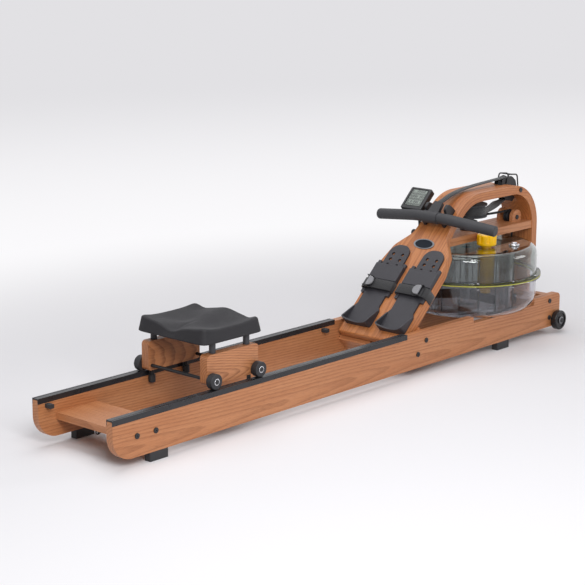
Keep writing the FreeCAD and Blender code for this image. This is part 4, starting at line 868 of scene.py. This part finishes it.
# ---------------------------------------------------------------- studio
def floor_and_light():
    """A pale floor that fades into a backdrop, slowly darker away from the object; a
    broad overhead light, softer ones at the sides, and two small ones that the tank
    mirrors as highlights."""
    material, tree, shader = new_material("studio_floor", rgb(232, 231, 234), 0.9, 0.0, 0.1)
    away = vector_sums(tree, "LENGTH", vector_sums(tree, "MULTIPLY", object_place(tree), (0.75, 1.0, 1.0)))
    glow = add_node(tree, "ShaderNodeEmission")
    shade = blend_colors(tree, spread(tree, away, 1.5, 8.0), rgb(252, 251, 253), rgb(226, 225, 228))
    feed(tree, glow.inputs["Color"], shade)
    mixed = add_node(tree, "ShaderNodeMixShader")
    feed(tree, mixed.inputs[0], spread(tree, away, 0.7, 2.4))
    feed(tree, mixed.inputs[1], shader.outputs[0])
    feed(tree, mixed.inputs[2], glow.outputs[0])
    feed(tree, tree.nodes["Material Output"].inputs["Surface"], mixed.outputs[0])
    bpy.ops.mesh.primitive_plane_add(size=60, location=(0, 0, -0.0005))
    floor = bpy.context.object
    floor.name = "studio_floor"
    floor.data.materials.append(material)
    world = bpy.data.worlds.new("studio")
    bpy.context.scene.world = world
    world.use_nodes = True
    world_tree = world.node_tree
    sky = world_tree.nodes["Background"]
    path = add_node(world_tree, "ShaderNodeLightPath")
    mirrored = sums(world_tree, "MAXIMUM", path.outputs["Is Glossy Ray"], path.outputs["Is Transmission Ray"])
    seen = sums(world_tree, "MAXIMUM", path.outputs["Is Camera Ray"], mirrored)
    feed(world_tree, sky.inputs["Color"], rgb(240, 240, 243))
    feed(world_tree, sky.inputs["Strength"], spread(world_tree, seen, 0.0, 1.0, 0.27, 1.0))

    def lamp(name, place, aim, size, energy):
        data = bpy.data.lights.new(name, "AREA")
        data.shape = "RECTANGLE"
        data.size, data.size_y = size
        data.energy = energy
        obj = bpy.data.objects.new(name, data)
        bpy.context.scene.collection.objects.link(obj)
        obj.location = place
        obj.rotation_euler = (Vector(aim) - Vector(place)).to_track_quat("-Z", "Y").to_euler()

    lamp("overhead", (-0.2, 0.3, 3.2), (0, 0, 0.2), (3.4, 2.6), 60)
    lamp("key_left", (-2.6, -2.8, 2.4), (0.1, 0, 0.3), (1.6, 1.2), 86)
    lamp("fill_front", (3.0, -2.2, 1.6), (0.3, 0, 0.3), (1.4, 1.2), 24)
    lamp("small_window", (-1.9, -2.9, 1.35), (0.7, 0, 0.3), (0.55, 0.22), 9)
    lamp("high_window", (-1.2, -2.4, 3.4), (0.7, 0, 0.3), (0.9, 0.5), 16)


def camera():
    """The camera at the viewing angle, from its place and its three directions."""
    data = bpy.data.cameras.new("view")
    obj = bpy.data.objects.new("view", data)
    bpy.context.scene.collection.objects.link(obj)
    right = Vector((0.66737592, -0.74470343, 0.00511729))
    up = Vector((0.1620575, 0.15192989, 0.97501522))
    back = right.cross(up)
    turn = Matrix((right, up, back)).transposed().to_4x4()
    obj.matrix_world = Matrix.Translation((-3.998, -3.4192, 1.4938)) @ turn
    data.sensor_width = 36.0
    data.lens = 107.0
    data.shift_y = -0.0043
    bpy.context.scene.camera = obj


camera()
floor_and_light()
paint_everything()
steel = metal("fitting_steel", rgb(214, 214, 218), 0.22)
webbing = webbing_material()
foam = moulded("cushion_foam", rgb(34, 33, 36), 0.62, 360.0, 0.0011, shine=0.3)
paint(foam, "seat_pad")
seat_cushion(foam)
foot_webbing(webbing)
drive_belts(webbing)
wheel_bearings(steel, moulded("hub_grey", rgb(120, 120, 124), 0.35))
tank_screws(steel)
tank_fitting(steel)
amber_sleeve(bpy.data.materials["amber_tube"])
chamber_ribs(clear_plastic("rib_clear", (0.22, 0.23, 0.24, 1.0), 0.1))
monitor_screen(screen_material())
bpy.context.scene.view_settings.view_transform = "Standard"
